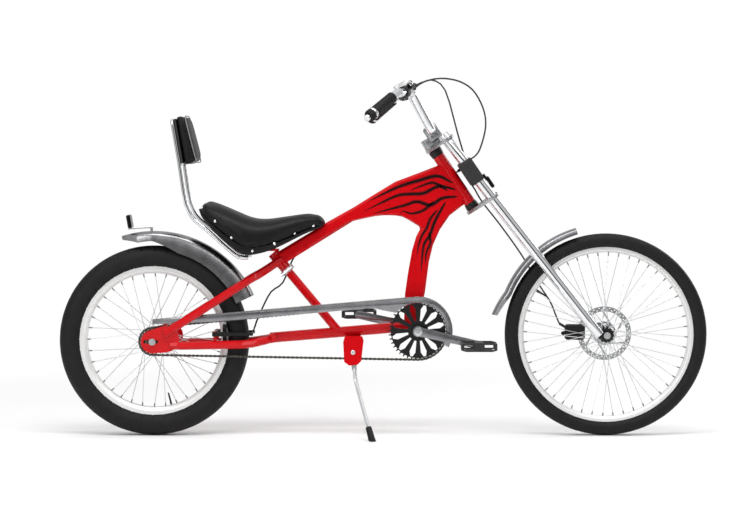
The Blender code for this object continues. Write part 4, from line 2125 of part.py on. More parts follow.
for branch in (front_spin, caliper_pivot, lever_axis_left, lever_axis_right):
    branch.parent = steering_axis
    branch.matrix_parent_inverse = steering_axis.matrix_world.inverted()
rear_pieces = ("rear_tyre", "rear_rim", "rear_hub_and_spokes", "rear_valve")
hang("rear_wheel_axis", side_point(REAR_AXLE, 0.0), *rear_pieces)
hang("freewheel_axis", side_point(REAR_AXLE, -CHAIN_LINE), "freewheel_sprocket")
crank_spin = hang(
    "crank_axis", side_point(BRACKET, 0.0), "crank_axle", "crank_arm_right", "crank_arm_left", "chainring"
)
pedal_axis_right = hang("pedal_right_axis", side_point(PEDAL_RIGHT, 0.0), "pedal_right")
pedal_axis_left = hang("pedal_left_axis", side_point(PEDAL_LEFT, 0.0), "pedal_left")
for branch in (pedal_axis_right, pedal_axis_left):
    branch.parent = crank_spin
    branch.matrix_parent_inverse = crank_spin.matrix_world.inverted()
hang("kickstand_axis", KICK_PIVOT, "kickstand_leg", "kickstand_foot")
for side, piece in ((-1, "rear_brake_arm_right"), (1, "rear_brake_arm_left")):
    hang(piece + "_axis", Vector((BRAKE_PIVOT[0], side * BRAKE_PIVOT_LATERAL, BRAKE_PIVOT[1])), piece)
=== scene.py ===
"""Looks of a long-fork chopper cruiser bicycle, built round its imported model.

Metres, +X forward, +Y to the rider's left, +Z up. The drive side faces -Y.
"""

import bmesh
import bpy
import numpy as np
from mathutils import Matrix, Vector
from mathutils.bvhtree import BVHTree


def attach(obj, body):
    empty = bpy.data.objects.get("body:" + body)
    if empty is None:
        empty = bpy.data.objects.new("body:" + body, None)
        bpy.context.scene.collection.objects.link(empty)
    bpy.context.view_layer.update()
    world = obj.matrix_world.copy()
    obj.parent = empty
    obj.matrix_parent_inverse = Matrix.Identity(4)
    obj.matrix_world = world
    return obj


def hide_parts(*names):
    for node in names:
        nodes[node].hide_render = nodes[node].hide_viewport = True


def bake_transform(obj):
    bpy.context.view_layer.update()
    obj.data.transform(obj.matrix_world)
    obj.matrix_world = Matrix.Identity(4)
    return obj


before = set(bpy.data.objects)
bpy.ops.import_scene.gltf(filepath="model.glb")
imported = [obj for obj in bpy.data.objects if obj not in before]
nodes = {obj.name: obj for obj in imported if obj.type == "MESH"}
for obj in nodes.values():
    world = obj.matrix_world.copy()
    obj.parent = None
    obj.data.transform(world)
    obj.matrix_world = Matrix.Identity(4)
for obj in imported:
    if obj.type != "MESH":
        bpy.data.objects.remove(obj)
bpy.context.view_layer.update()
TURN = 2 * np.pi


# Studio: pale plaster walls, a round pale floor that fades into them, and soft strip lamps.
# A low dark screen and two tall dark posts give plated parts the dark lines of a real room.
def linear(code):
    """Linear RGBA of an sRGB hex colour, each channel taken back through the sRGB curve."""
    channel = np.array([int(code[start : start + 2], 16) for start in (0, 2, 4)]) / 255
    return (*np.where(channel <= 0.04045, channel / 12.92, ((channel + 0.055) / 1.055) ** 2.4), 1.0)


def node(tree, kind, sockets=None, stops=(), **settings):
    """Adds a shader node with its properties, input values or links, and a ramp's stops, ends first."""
    made = tree.nodes.new(kind)
    for key, value in settings.items():
        setattr(made, key, value)
    for key, value in (sockets or {}).items():
        if isinstance(value, bpy.types.NodeSocket):
            tree.links.new(value, made.inputs[key])
        else:
            made.inputs[key].default_value = value
    for index, (position, code) in enumerate(stops):
        band = made.color_ramp.elements
        stop = band[index] if index < 2 else band.new(position)
        stop.position = position
        stop.color = linear(code)
    return made


room = bpy.data.worlds.new("studio_room")
bpy.context.scene.world = room
room.use_nodes = True
tree = room.node_tree
tree.nodes.clear()
towards = node(tree, "ShaderNodeTexCoord").outputs["Generated"]
ways = node(tree, "ShaderNodeSeparateXYZ", {"Vector": towards}).outputs
level = node(tree, "ShaderNodeMath", {0: ways["Z"], 1: 0.5, 2: 0.5}, operation="MULTIPLY_ADD").outputs[0]
back = node(tree, "ShaderNodeMath", {0: ways["Y"], 1: -1.0}, operation="MULTIPLY").outputs[0]
turned_by = node(tree, "ShaderNodeMath", {0: ways["X"], 1: back}, operation="ARCTAN2").outputs[0]
# The level runs from 0 underfoot to 1 overhead, and the compass once round, with 0.5 on the camera's side.
turns = {0: turned_by, 1: 1 / TURN, 2: 0.5}
compass = node(tree, "ShaderNodeMath", turns, operation="MULTIPLY_ADD").outputs[0]
PLAIN, DARK = "000000", "FFFFFF"
WALL_GREYS = ((0.0, "E2E2E2"), (1.0, "F0F0F0"), (0.44, "CFCFCF"), (0.60, "C2C2C2"))
SCREEN_HEIGHT = ((0.44, PLAIN), (0.58, PLAIN), (0.46, DARK), (0.555, DARK))
SCREEN_WIDTH = ((0.42, PLAIN), (0.575, PLAIN), (0.45, DARK), (0.545, DARK))
POST_HEIGHT = ((0.40, PLAIN), (0.92, PLAIN), (0.43, DARK), (0.86, DARK))
POST_WIDTHS = (
    (0.230, PLAIN), (0.745, PLAIN), (0.240, DARK), (0.262, DARK),
    (0.272, PLAIN), (0.690, PLAIN), (0.700, DARK), (0.735, DARK),
)
plaster, low_screen, screens, tall_screen, posts = (
    node(tree, "ShaderNodeValToRGB", {"Fac": share}, stops).outputs["Color"]
    for share, stops in (
        (level, WALL_GREYS),
        (level, SCREEN_HEIGHT),
        (compass, SCREEN_WIDTH),
        (level, POST_HEIGHT),
        (compass, POST_WIDTHS),
    )
)
low_dark = node(tree, "ShaderNodeMath", {0: low_screen, 1: screens}, operation="MULTIPLY").outputs[0]
tall_dark = node(tree, "ShaderNodeMath", {0: tall_screen, 1: posts}, operation="MULTIPLY").outputs[0]
shade = node(tree, "ShaderNodeMath", {0: low_dark, 1: tall_dark}, operation="MAXIMUM").outputs[0]
walls = node(tree, "ShaderNodeMix", {0: shade, 6: plaster, 7: linear("262626")}, data_type="RGBA").outputs[2]
rays = node(tree, "ShaderNodeLightPath")
straight = node(
    tree,
    "ShaderNodeMath",
    {0: rays.outputs["Is Camera Ray"], 1: rays.outputs["Is Transmission Ray"]},
    operation="MAXIMUM",
).outputs[0]
seen = node(tree, "ShaderNodeMix", {0: straight, 6: walls, 7: linear("FFFFFF")}, data_type="RGBA").outputs[2]
glow = node(tree, "ShaderNodeBackground", {"Color": seen, "Strength": 1.0})
node(tree, "ShaderNodeOutputWorld", {"Surface": glow.outputs[0]})

# The floor lies a hair below the tyres, so that it shares no face with them.
FLOOR_RADIUS, FLOOR_SIDES, FLOOR_LEVEL = 5.0, 96, -0.0008
turn = TURN * np.arange(FLOOR_SIDES) / FLOOR_SIDES
disc = np.column_stack([FLOOR_RADIUS * np.cos(turn), FLOOR_RADIUS * np.sin(turn), np.zeros(FLOOR_SIDES)])
floor_mesh = bpy.data.meshes.new("studio_floor")
floor_mesh.from_pydata(disc.tolist(), [], [list(range(FLOOR_SIDES))])
floor = bpy.data.objects.new("studio_floor", floor_mesh)
floor.location.z = FLOOR_LEVEL
bpy.context.scene.collection.objects.link(floor)
pale = bpy.data.materials.new("pale_floor_paint")
pale.use_nodes = True
tree = pale.node_tree
tree.nodes.clear()
place = node(tree, "ShaderNodeTexCoord").outputs["Object"]
away = node(tree, "ShaderNodeVectorMath", {0: place}, operation="LENGTH").outputs["Value"]
edges = {"Value": away, "From Min": 1.2, "From Max": 2.6}
fade = node(tree, "ShaderNodeMapRange", edges, interpolation_type="SMOOTHSTEP")
paint = node(tree, "ShaderNodeBsdfDiffuse", {"Color": linear("FAFAFA")})
wall = node(tree, "ShaderNodeEmission", {"Color": linear("FFFFFF"), "Strength": 1.0})
mixed = node(tree, "ShaderNodeMixShader", {0: fade.outputs[0], 1: paint.outputs[0], 2: wall.outputs[0]})
node(tree, "ShaderNodeOutputMaterial", {"Surface": mixed.outputs[0]})
floor_mesh.materials.append(pale)


def aimed(obj, spot, target):
    """Puts a lamp or the camera at a spot, looking at a target."""
    obj.location = spot
    facing = Vector(target) - Vector(spot)
    obj.rotation_euler = facing.to_track_quat("-Z", "Y").to_euler()
    bpy.context.scene.collection.objects.link(obj)


# Each soft lamp's name, watts, two sides, place and aim.
LAMPS = (
    ("overhead_strip", 46.0, (3.2, 0.7), (0.1, -1.1, 3.0), (0.0, 0.0, 0.4)),
    ("front_strip", 34.0, (0.8, 2.4), (-2.4, -3.6, 2.2), (0.0, 0.0, 0.5)),
    ("low_strip", 14.0, (2.6, 0.5), (1.2, -3.6, 2.6), (0.0, 0.0, 0.5)),
    ("side_strip", 30.0, (1.0, 2.4), (3.0, 2.6, 2.0), (0.0, 0.0, 0.5)),
)
for name, power, size, spot, target in LAMPS:
    lamp = bpy.data.lights.new(name, "AREA")
    lamp.shape = "RECTANGLE"
    lamp.size, lamp.size_y = size
    lamp.energy = power
    aimed(bpy.data.objects.new(name, lamp), spot, target)

# Camera: level with the saddle, 7.4 m from the drive side, as in the photograph.
camera_data = bpy.data.cameras.new("camera")
camera_data.sensor_width = 36.0
camera_data.lens = 120.0
camera = bpy.data.objects.new("camera", camera_data)
aimed(camera, (0.036, -7.375, 0.841), (-0.0234, 0.0, 0.5127))
bpy.context.scene.camera = camera
bpy.context.scene.view_settings.view_transform = "Standard"


# Frame: welded steel tubes and a pressed spine under glossy red enamel.
# The enamel was sprayed and baked, so it is smooth and mirror-like, with a faint orange peel.
def surface(name, sockets_of):
    """A material whose Principled shader takes the sockets that the function gives for its tree and place.

    The place is the Object coordinate: metres in the bicycle's own frame, the same for all pieces.
    """
    made = bpy.data.materials.new(name)
    made.use_nodes = True
    tree = made.node_tree
    tree.nodes.clear()
    place = node(tree, "ShaderNodeTexCoord").outputs["Object"]
    shader = node(tree, "ShaderNodeBsdfPrincipled", sockets_of(tree, place))
    node(tree, "ShaderNodeOutputMaterial", {"Surface": shader.outputs[0]})
    return made


def red_enamel(tree, place):
    """Sprayed and baked enamel: an even deep red, mirror-like, with the faint waves of orange peel."""
    peel = node(tree, "ShaderNodeTexNoise", {"Vector": place, "Scale": 1 / 0.0025, "Detail": 1.0})
    cloud = node(tree, "ShaderNodeTexNoise", {"Vector": place, "Scale": 1 / 0.12, "Detail": 2.0})
    reds = {0: cloud.outputs[0], 6: linear("BC0009"), 7: linear("CE010E")}
    tint = node(tree, "ShaderNodeMix", reds, data_type="RGBA")
    waves = node(tree, "ShaderNodeBump", {"Height": peel.outputs[0], "Distance": 0.000012, "Strength": 0.5})
    return {
        "Base Color": tint.outputs[2],
        "Roughness": 0.36,
        "IOR": 1.2,
        "Coat Weight": 0.4,
        "Coat Roughness": 0.03,
        "Normal": waves.outputs[0],
    }


# Corners nearer than this are one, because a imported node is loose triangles.
JOINED_WITHIN = 0.000004


def soften(mesh, limit=35.0):
    """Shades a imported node's round faces smooth.

    Two triangles meet where their edges have the same two places. The edge stays smooth if
    their normals differ by less than the limit in degrees, and is marked sharp otherwise.
    """
    for layer in ("custom_normal", "sharp_face"):
        if layer in mesh.attributes:
            mesh.attributes.remove(mesh.attributes[layer])
    places = np.empty(len(mesh.vertices) * 3, np.float32)
    mesh.vertices.foreach_get("co", places)
    # places that round to the same step of two micrometres are one corner
    steps = np.round(places.reshape(-1, 3) * 500000).astype(np.int64)
    _, same = np.unique(steps, axis=0, return_inverse=True)
    same = same.reshape(-1)
    ends = np.empty(len(mesh.edges) * 2, np.int32)
    mesh.edges.foreach_get("vertices", ends)
    pairs = np.sort(same[ends.reshape(-1, 2)], axis=1)
    edge_of_corner = np.empty(len(mesh.loops), np.int32)
    mesh.loops.foreach_get("edge_index", edge_of_corner)
    normals = np.empty(len(mesh.polygons) * 3, np.float32)
    mesh.polygons.foreach_get("normal", normals)
    sizes = np.empty(len(mesh.polygons), np.int32)
    mesh.polygons.foreach_get("loop_total", sizes)
    facing = np.repeat(normals.reshape(-1, 3), sizes, axis=0)
    _, seam = np.unique(pairs[edge_of_corner], axis=0, return_inverse=True)
    seam = seam.reshape(-1)
    total = np.zeros((seam.max() + 1, 3))
    np.add.at(total, seam, facing)
    count = np.bincount(seam)
    # two unit normals at an angle a add up to a length of 2 cos(a / 2)
    flat = np.linalg.norm(total, axis=1) > 2 * np.cos(np.radians(limit) / 2)
    sharp = np.zeros(len(mesh.edges), bool)
    sharp[edge_of_corner] = ~(flat & (count == 2))[seam]
    mesh.shade_smooth()
    marks = mesh.attributes.get("sharp_edge") or mesh.attributes.new("sharp_edge", "BOOLEAN", "EDGE")
    marks.data.foreach_set("value", sharp)


def dress(material, *names):
    """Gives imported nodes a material, joins their loose triangles and shades them."""
    for name in names:
        obj = nodes[name]
        obj.data.materials.clear()
        obj.data.materials.append(material)
        soften(obj.data)
        weld = obj.modifiers.new("weld", "WELD")
        weld.merge_threshold = JOINED_WITHIN
        flow = obj.modifiers.new("flow", "WEIGHTED_NORMAL")
        flow.keep_sharp = True


enamel = surface("baked_red_enamel", red_enamel)
dress(enamel, "frame")


# Tyres: black rubber moulded over a cord casing, the rear one much fatter than the front one.
# The tread has lean blocks with narrow grooves, and the walls keep the mould's fine rings.
def curve_through(points, steps):
    """A smooth line through points, each stretch cut into steps.

    Between b and c, with a before and d after them, it is the Catmull-Rom cubic in t from 0
    to 1: half of 2b + (c - a)t + (2a - 5b + 4c - d)t^2 + (3b - a - 3c + d)t^3.
    """
    given = np.array(points, float)
    whole = np.vstack([2 * given[0] - given[1], given, 2 * given[-1] - given[-2]])
    t = np.linspace(0, 1, steps, endpoint=False)[None, :, None]
    a, b, c, d = (whole[k : len(whole) - 3 + k, None, :] for k in range(4))
    line = 0.5 * (2 * b + (c - a) * t + (2 * a - 5 * b + 4 * c - d) * t**2 + (3 * b - a - 3 * c + d) * t**3)
    return np.vstack([line.reshape(-1, given.shape[1]), given[-1:]])


def unit(rows):
    """Rows of vectors over their own lengths."""
    return rows / np.linalg.norm(rows, axis=-1, keepdims=True)


def even(line, count):
    """The line's points moved to equal steps of its length, found by interpolating each coordinate on it."""
    run = np.concatenate([[0], np.cumsum(np.linalg.norm(np.diff(line, axis=0), axis=1))])
    steps = np.linspace(0, run[-1], count)
    return np.column_stack([np.interp(steps, run, line[:, k]) for k in range(line.shape[1])])


def grid(points, around=False, along=False, ends=False):
    """A sheet of rows of points as corners and faces.

    Face i, j joins the points i, j and i + 1, j + 1. around joins the last column to the
    first, along the last row to the first, and ends caps the first and the last row.
    """
    rows, count = points.shape[:2]
    number = np.arange(rows * count).reshape(rows, count)
    wide = np.hstack([number, number[:, :1]]) if around else number
    tall = np.vstack([wide, wide[:1]]) if along else wide
    quads = np.stack([tall[:-1, :-1], tall[:-1, 1:], tall[1:, 1:], tall[1:, :-1]], axis=-1).reshape(-1, 4)
    caps = [number[:1, ::-1], number[-1:]] if ends else []
    return points.reshape(-1, 3), [quads, *caps]


def placed(name, mesh, material, body, replaced=()):
    """Makes a mesh a piece of one material, which rides on a body if one is named."""
    mesh.materials.clear()
    mesh.materials.append(material)
    made = bpy.data.objects.new(name, mesh)
    bpy.context.scene.collection.objects.link(made)
    if body:
        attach(made, body)
    if replaced:
        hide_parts(*replaced)
    return made


def piece(name, shells, material, body, replaced=(), sharp=32.0):
    """Joins shells, each its corners and arrays of faces, into one piece.

    Its shading breaks where two faces meet at more than the sharp angle, in degrees.
    """
    corners, loops, sizes, start = [], [], [], 0
    for places, blocks in shells:
        corners.append(places)
        loops.extend((block + start).ravel() for block in blocks)
        sizes.extend(np.full(len(block), block.shape[1]) for block in blocks)
        start += len(places)
    corners, loops, sizes = np.vstack(corners), np.concatenate(loops), np.concatenate(sizes)
    mesh = bpy.data.meshes.new(name)
    mesh.vertices.add(len(corners))
    mesh.vertices.foreach_set("co", corners.astype(np.float32).ravel())
    mesh.loops.add(len(loops))
    mesh.loops.foreach_set("vertex_index", loops.astype(np.int32))
    mesh.polygons.add(len(sizes))
    mesh.polygons.foreach_set("loop_start", (np.cumsum(sizes) - sizes).astype(np.int32))
    mesh.update(calc_edges=True)
    shape = bmesh.new()
    shape.from_mesh(mesh)
    bmesh.ops.recalc_face_normals(shape, faces=shape.faces)
    shape.to_mesh(mesh)
    shape.free()
    mesh.shade_smooth()
    mesh.set_sharp_from_angle(angle=np.radians(sharp))
    return placed(name, mesh, material, body, replaced)


def turned(centre, profile, steps, closed=False):
    """A cross profile of (y, radius) rows turned about a crosswise axle.

    The point at angle a is centre + (radius cos a, y, radius sin a).
    """
    a = (TURN * np.arange(steps) / steps)[:, None]
    y, radius = np.array(profile, float).T
    x = centre[0] + radius * np.cos(a)
    z = centre[1] + radius * np.sin(a)
    rings = np.stack([x, np.broadcast_to(y, x.shape), z], axis=-1)
    if closed:
        return grid(rings, around=True, along=True)
    return grid(rings.transpose(1, 0, 2), around=True, ends=True)


def tyre_rubber(tree, place):
    """Moulded rubber: nearly black and dull, with a grey bloom in patches and the mould's fine grain."""
    bloom = node(tree, "ShaderNodeTexNoise", {"Vector": place, "Scale": 1 / 0.03, "Detail": 4.0})
    blacks = ((0.35, "0C0C0D"), (0.7, "131314"))
    tint = node(tree, "ShaderNodeValToRGB", {"Fac": bloom.outputs[0]}, blacks)
    grain = node(tree, "ShaderNodeTexNoise", {"Vector": place, "Scale": 1 / 0.0012, "Detail": 2.0})
    bumps = node(tree, "ShaderNodeBump", {"Height": grain.outputs[0], "Distance": 0.0001, "Strength": 0.5})
    return {"Base Color": tint.outputs[0], "Roughness": 0.6, "IOR": 1.35, "Normal": bumps.outputs[0]}


rubber = surface("moulded_tyre_rubber", tyre_rubber)
REAR_AXLE = (-0.6755, 0.280)
FRONT_AXLE = (0.6575, 0.298)
# y and radius of each wall, from the crown to the bead.
REAR_WALL = (
    (0.0, 0.2799), (0.010, 0.2797), (0.020, 0.2775), (0.028, 0.2722), (0.0345, 0.2632), (0.0378, 0.2515),
    (0.0374, 0.2410), (0.0335, 0.2310), (0.0275, 0.2235), (0.0232, 0.2198), (0.0215, 0.2160),
)
FRONT_WALL = (
    (0.0, 0.2979), (0.0080, 0.2976), (0.0150, 0.2957), (0.0205, 0.2920), (0.0242, 0.2858), (0.0258, 0.2780),
    (0.0254, 0.2705), (0.0226, 0.2650), (0.0185, 0.2610), (0.0150, 0.2588), (0.0132, 0.2565),
)
# Steps round a tyre, the width over which a groove's side falls away, and the depth and spacing
# of the rings on the walls.
TYRE_STEPS, GROOVE_SIDE, RING_DEPTH, RING_PITCH = 1152, 0.0008, 0.00035, 0.0062


def tyre(name, centre, wall, blocks, tread, groove, reach, body):
    """A grooved tyre: rings of the wall profile and its mirror image about the axle.

    A groove lies where the block count times the turn, plus a lean with the distance from
    the middle and half a block on the left, is near a whole number and a half. A second
    one runs along each side of the middle and weaves once a block. The profile moves in by
    the groove's depth there, along its own normal, and by the rings' depth on the walls.
    tread is half the tread's width, and reach the share of it to which the grooves run.
    """
    half = even(curve_through(wall, 6), 30)
    across = np.vstack([half[::-1], half[1:] * (-1, 1)])
    slope = np.gradient(across, axis=0)
    normal = unit(np.column_stack([slope[:, 1], -slope[:, 0]]))
    width, depth = groove
    a = (TURN * np.arange(TYRE_STEPS) / TYRE_STEPS)[:, None]
    y = across[:, 0][None, :]
    out = np.abs(y) / tread
    lean = 0.42 * out + 0.10 * np.sin(np.pi * out)
    phase = (a * blocks / TURN - lean + 0.5 * (y > 0)) % 1
    pitch = TURN * across[:, 1].max() / blocks
    bar = np.clip((width / 2 - np.abs(phase - 0.5) * pitch) / GROOVE_SIDE + 0.5, 0, 1)
    bar = bar * (out > 0.16) * (out < reach)
    weave = 0.42 + 0.10 * np.cos(TURN * (a * blocks / TURN + 0.5 * (y > 0)))
    rib = np.clip((width * 0.35 - np.abs(out - weave) * tread) / GROOVE_SIDE + 0.5, 0, 1)
    cut = depth * np.maximum(bar, rib * (out < 0.8))
    ring = RING_DEPTH * (np.sin(across[:, 1] * TURN / RING_PITCH) > 0.75)[None, :] * (out > 1.12)
    drop = cut + ring
    side = y + normal[None, :, 0] * -drop
    radius = across[:, 1][None, :] + normal[None, :, 1] * -drop
    points = np.stack([centre[0] + radius * np.cos(a), side, centre[1] + radius * np.sin(a)], axis=-1)
    shell = grid(points, around=True, along=True)
    piece(name + "_tread", [shell], rubber, body, [name], 50.0)


tyre(
    "rear_tyre",
    REAR_AXLE,
    REAR_WALL,
    blocks=44,
    tread=0.0345,
    groove=(0.0042, 0.0017),
    reach=0.93,
    body="rear_wheel",
)
tyre(
    "front_tyre",
    FRONT_AXLE,
    FRONT_WALL,
    blocks=56,
    tread=0.0205,
    groove=(0.0034, 0.0013),
    reach=1.15,
    body="front_wheel",
)


# Rims: rolled aluminium sections, bright anodised, with a lip either side and a bevel to the bed.
# Rolling and brushing leave fine lines that run round the wheel.
def from_axle(tree, place, axle):
    """The distance from an axle in the side view, for lines that run round a wheel."""
    flat = node(tree, "ShaderNodeVectorMath", {0: place, 1: (1, 0, 1)}, operation="MULTIPLY").outputs[0]
    hub = (axle[0], 0, axle[1])
    return node(tree, "ShaderNodeVectorMath", {0: flat, 1: hub}, operation="DISTANCE").outputs["Value"]


def rim_aluminium(axle):
    """Anodised aluminium: a pale, even shine, with brushed lines that run round the axle."""

    def sockets(tree, place):
        brushing = {"W": from_axle(tree, place, axle), "Scale": 1 / 0.0006, "Detail": 2.0}
        lines = node(tree, "ShaderNodeTexNoise", brushing, noise_dimensions="1D")
        smear = node(tree, "ShaderNodeTexNoise", {"Vector": place, "Scale": 1 / 0.05, "Detail": 3.0})
        rough = node(tree, "ShaderNodeMapRange", {"Value": smear.outputs[0], "To Min": 0.30, "To Max": 0.44})
        raised = {"Height": lines.outputs[0], "Distance": 0.00002, "Strength": 0.4}
        bumps = node(tree, "ShaderNodeBump", raised)
        return {
            "Base Color": linear("E9E9E8"),
            "Metallic": 0.55,
            "Roughness": rough.outputs[0],
            "Normal": bumps.outputs[0],
        }

    return sockets


# y and radius round each section.
REAR_SECTION = (
    (0.0230, 0.2206), (0.0212, 0.2206), (0.0200, 0.2150), (-0.0200, 0.2150), (-0.0212, 0.2206),
    (-0.0230, 0.2206), (-0.0234, 0.2090), (-0.0222, 0.2062), (-0.0150, 0.1984), (0.0150, 0.1984),
    (0.0222, 0.2062), (0.0234, 0.2090),
)
FRONT_SECTION = (
    (0.0150, 0.2586), (0.0136, 0.2586), (0.0124, 0.2535), (-0.0124, 0.2535), (-0.0136, 0.2586),
    (-0.0150, 0.2586), (-0.0153, 0.2500), (-0.0144, 0.2478), (-0.0090, 0.2422), (0.0090, 0.2422),
    (0.0144, 0.2478), (0.0153, 0.2500),
)
for name, axle, section in (("rear", REAR_AXLE, REAR_SECTION), ("front", FRONT_AXLE, FRONT_SECTION)):
    alloy = surface(f"{name}_rim_anodised_aluminium", rim_aluminium(axle))
    rolled = piece(
        f"{name}_rim_section",
        [turned(axle, section, 180, closed=True)],
        alloy,
        f"{name}_wheel",
        [f"{name}_rim"],
        20.0,
    )
    edge = rolled.modifiers.new("rolled_edge", "BEVEL")
    edge.width = 0.0006
    edge.segments = 1
    edge.limit_method = "ANGLE"


# Spokes: zinc-plated steel wire, laced three-cross from both flanges and held by nickelled brass nipples.
# Hubs: turned shells with drilled flanges, black in front and zinc-plated behind.
def square_to(ways):
    """A unit vector square to each way: its cross product with up, or with forward if it is steep."""
    spare = np.where(np.abs(ways[:, 2:]) < 0.9, [[0.0, 0.0, 1.0]], [[1.0, 0.0, 0.0]])
    return unit(np.cross(ways, spare))


def rods(starts, ends, radii, sides):
    """Round bars between pairs of points.

    Each end ring is the end point plus its radius times cos a and sin a along two unit
    vectors at right angles to the bar.
    """
    starts, ends = np.array(starts, float), np.array(ends, float)
    along = unit(ends - starts)
    side = square_to(along)
    up = np.cross(side, along)
    a = (TURN * np.arange(sides) / sides)[None, :, None]
    ring = side[:, None] * np.cos(a) + up[:, None] * np.sin(a)
    first, last = np.broadcast_to(radii, 2)
    points = np.stack([starts[:, None] + first * ring, ends[:, None] + last * ring], axis=1)
    number = np.arange(len(starts) * 2 * sides).reshape(-1, 2, sides)
    after = np.roll(number, -1, axis=2)
    walls = np.stack([number[:, 0], after[:, 0], after[:, 1], number[:, 1]], axis=-1).reshape(-1, 4)
    return points.reshape(-1, 3), [walls, number[:, 0, ::-1], number[:, 1]]


def zinc_plate(tree, place):
    """Zinc over drawn steel: a pale satin grey with a fine grain, shinier in some places than in others."""
    grain = node(tree, "ShaderNodeTexNoise", {"Vector": place, "Scale": 1 / 0.0012, "Detail": 2.0})
    cloud = node(tree, "ShaderNodeTexNoise", {"Vector": place, "Scale": 1 / 0.02, "Detail": 3.0})
    rough = node(tree, "ShaderNodeMapRange", {"Value": cloud.outputs[0], "To Min": 0.22, "To Max": 0.36})
    bumps = node(tree, "ShaderNodeBump", {"Height": grain.outputs[0], "Distance": 0.00002, "Strength": 0.4})
    return {
        "Base Color": linear("CDCED0"),
        "Metallic": 1.0,
        "Roughness": rough.outputs[0],
        "Normal": bumps.outputs[0],
    }


def stoved_black(tree, place):
    """Stoving paint on steel: black with a low satin sheen and a finely pebbled skin."""
    grain = node(tree, "ShaderNodeTexNoise", {"Vector": place, "Scale": 1 / 0.0016, "Detail": 3.0})
    bumps = node(tree, "ShaderNodeBump", {"Height": grain.outputs[0], "Distance": 0.00004, "Strength": 0.5})
    return {"Base Color": linear("0D0D0E"), "Roughness": 0.36, "IOR": 1.4, "Normal": bumps.outputs[0]}


def nickelled_brass(tree, place):
    """Nickel over turned brass: small grey barrels that stay darker than the wires."""
    film = node(tree, "ShaderNodeTexNoise", {"Vector": place, "Scale": 1 / 0.004, "Detail": 2.0})
    greys = ((0.3, "6E6E70"), (0.7, "8E8E90"))
    tint = node(tree, "ShaderNodeValToRGB", {"Fac": film.outputs[0]}, greys)
    return {"Base Color": tint.outputs[0], "Metallic": 1.0, "Roughness": 0.35}


def polished_alloy(tree, place):
    """Cast aluminium, polished on a wheel: a soft grey shine over what is left of the casting's skin."""
    cast = node(tree, "ShaderNodeTexNoise", {"Vector": place, "Scale": 1 / 0.004, "Detail": 3.0})
    bumps = node(tree, "ShaderNodeBump", {"Height": cast.outputs[0], "Distance": 0.00005, "Strength": 0.4})
    return {"Base Color": linear("A9AAAC"), "Metallic": 1.0, "Roughness": 0.3, "Normal": bumps.outputs[0]}


zinc = surface("zinc_plated_steel", zinc_plate)
alloy_casting = surface("polished_cast_aluminium", polished_alloy)
brass = surface("nickelled_brass", nickelled_brass)
stoving = surface("satin_black_stoving_paint", stoved_black)


# Radius of the wire, length and two radii of a nipple, and the turn of the whole lacing.
WIRE_RADIUS, NIPPLE_LENGTH, NIPPLE_RADII, LACING_TURN = 0.00105, 0.0100, (0.0021, 0.0018), np.radians(5.625)
# How far heads stand off the middle of a flange, and nipples off the rim's middle and their own row.
HEAD_STEP, ROW_STEP, NIPPLE_STEP = 0.0019, 0.003, 0.0009


def lacing(axle, count, flange_radius, offsets, reach):
    """Both ends of every spoke, flange by flange.

    Spoke i of a flange leaves the hub at i and a quarter spacings, its partner side a
    quarter spacing back, and meets the rim three spacings on, odd ones ahead and even ones behind.
    """
    number = np.arange(count // 2)
    spacing = TURN / len(number)
    sense = np.where(number % 2, 1, -1)
    starts, ends = [], []
    for side, offset in zip((1, -1), offsets):
        at_hub = spacing * (number + 0.25 * side)
        at_rim = at_hub + 3 * sense * spacing
        for angle, radius, y, found in (
            (at_hub, flange_radius, offset + HEAD_STEP * side * sense, starts),
            (at_rim, reach, ROW_STEP * side + NIPPLE_STEP * side * sense, ends),
        ):
            x = axle[0] + radius * np.cos(angle + LACING_TURN)
            z = axle[1] - radius * np.sin(angle + LACING_TURN)
            found.append(np.column_stack([x, y, z]))
    return np.vstack(starts), np.vstack(ends)


# Each wheel's name, axle, spoke count, flange radius, flange places and spokes' reach.
WHEELS = (
    ("rear", REAR_AXLE, 36, 0.0277, (0.034, -0.026), 0.1978),
    ("front", FRONT_AXLE, 48, 0.0207, (0.024, -0.030), 0.2418),
)
for name, axle, count, flange_radius, offsets, reach in WHEELS:
    starts, ends = lacing(axle, count, flange_radius, offsets, reach)
    body = f"{name}_wheel"
    wires = rods(starts, ends, WIRE_RADIUS, 8)
    piece(f"{name}_spokes", [wires], zinc, body, [f"{name}_hub_and_spokes"])
    inward = unit(starts - ends)
    barrels = rods(ends, ends + NIPPLE_LENGTH * inward, NIPPLE_RADII, 8)
    piece(f"{name}_spoke_nipples", [barrels], brass, body)

# y and radius of each shell, from its right end to its left end.
REAR_HUB = (
    (-0.0375, 0.0075), (-0.0375, 0.0150), (-0.0300, 0.0155), (-0.0280, 0.0296), (-0.0268, 0.0300),
    (-0.0248, 0.0300), (-0.0236, 0.0296), (-0.0220, 0.0195), (-0.0150, 0.0172), (0.0220, 0.0172),
    (0.0300, 0.0195), (0.0316, 0.0296), (0.0328, 0.0300), (0.0350, 0.0300), (0.0362, 0.0296),
    (0.0380, 0.0190), (0.0490, 0.0165), (0.0495, 0.0075),
)
FRONT_HUB = (
    (-0.0375, 0.0065), (-0.0375, 0.0115), (-0.0330, 0.0125), (-0.0315, 0.0225), (-0.0306, 0.0230),
    (-0.0290, 0.0230), (-0.0280, 0.0225), (-0.0260, 0.0140), (-0.0180, 0.0124), (0.0140, 0.0124),
    (0.0205, 0.0140), (0.0226, 0.0225), (0.0234, 0.0230), (0.0250, 0.0230), (0.0260, 0.0225),
    (0.0275, 0.0150), (0.0390, 0.0150), (0.0395, 0.0065),
)
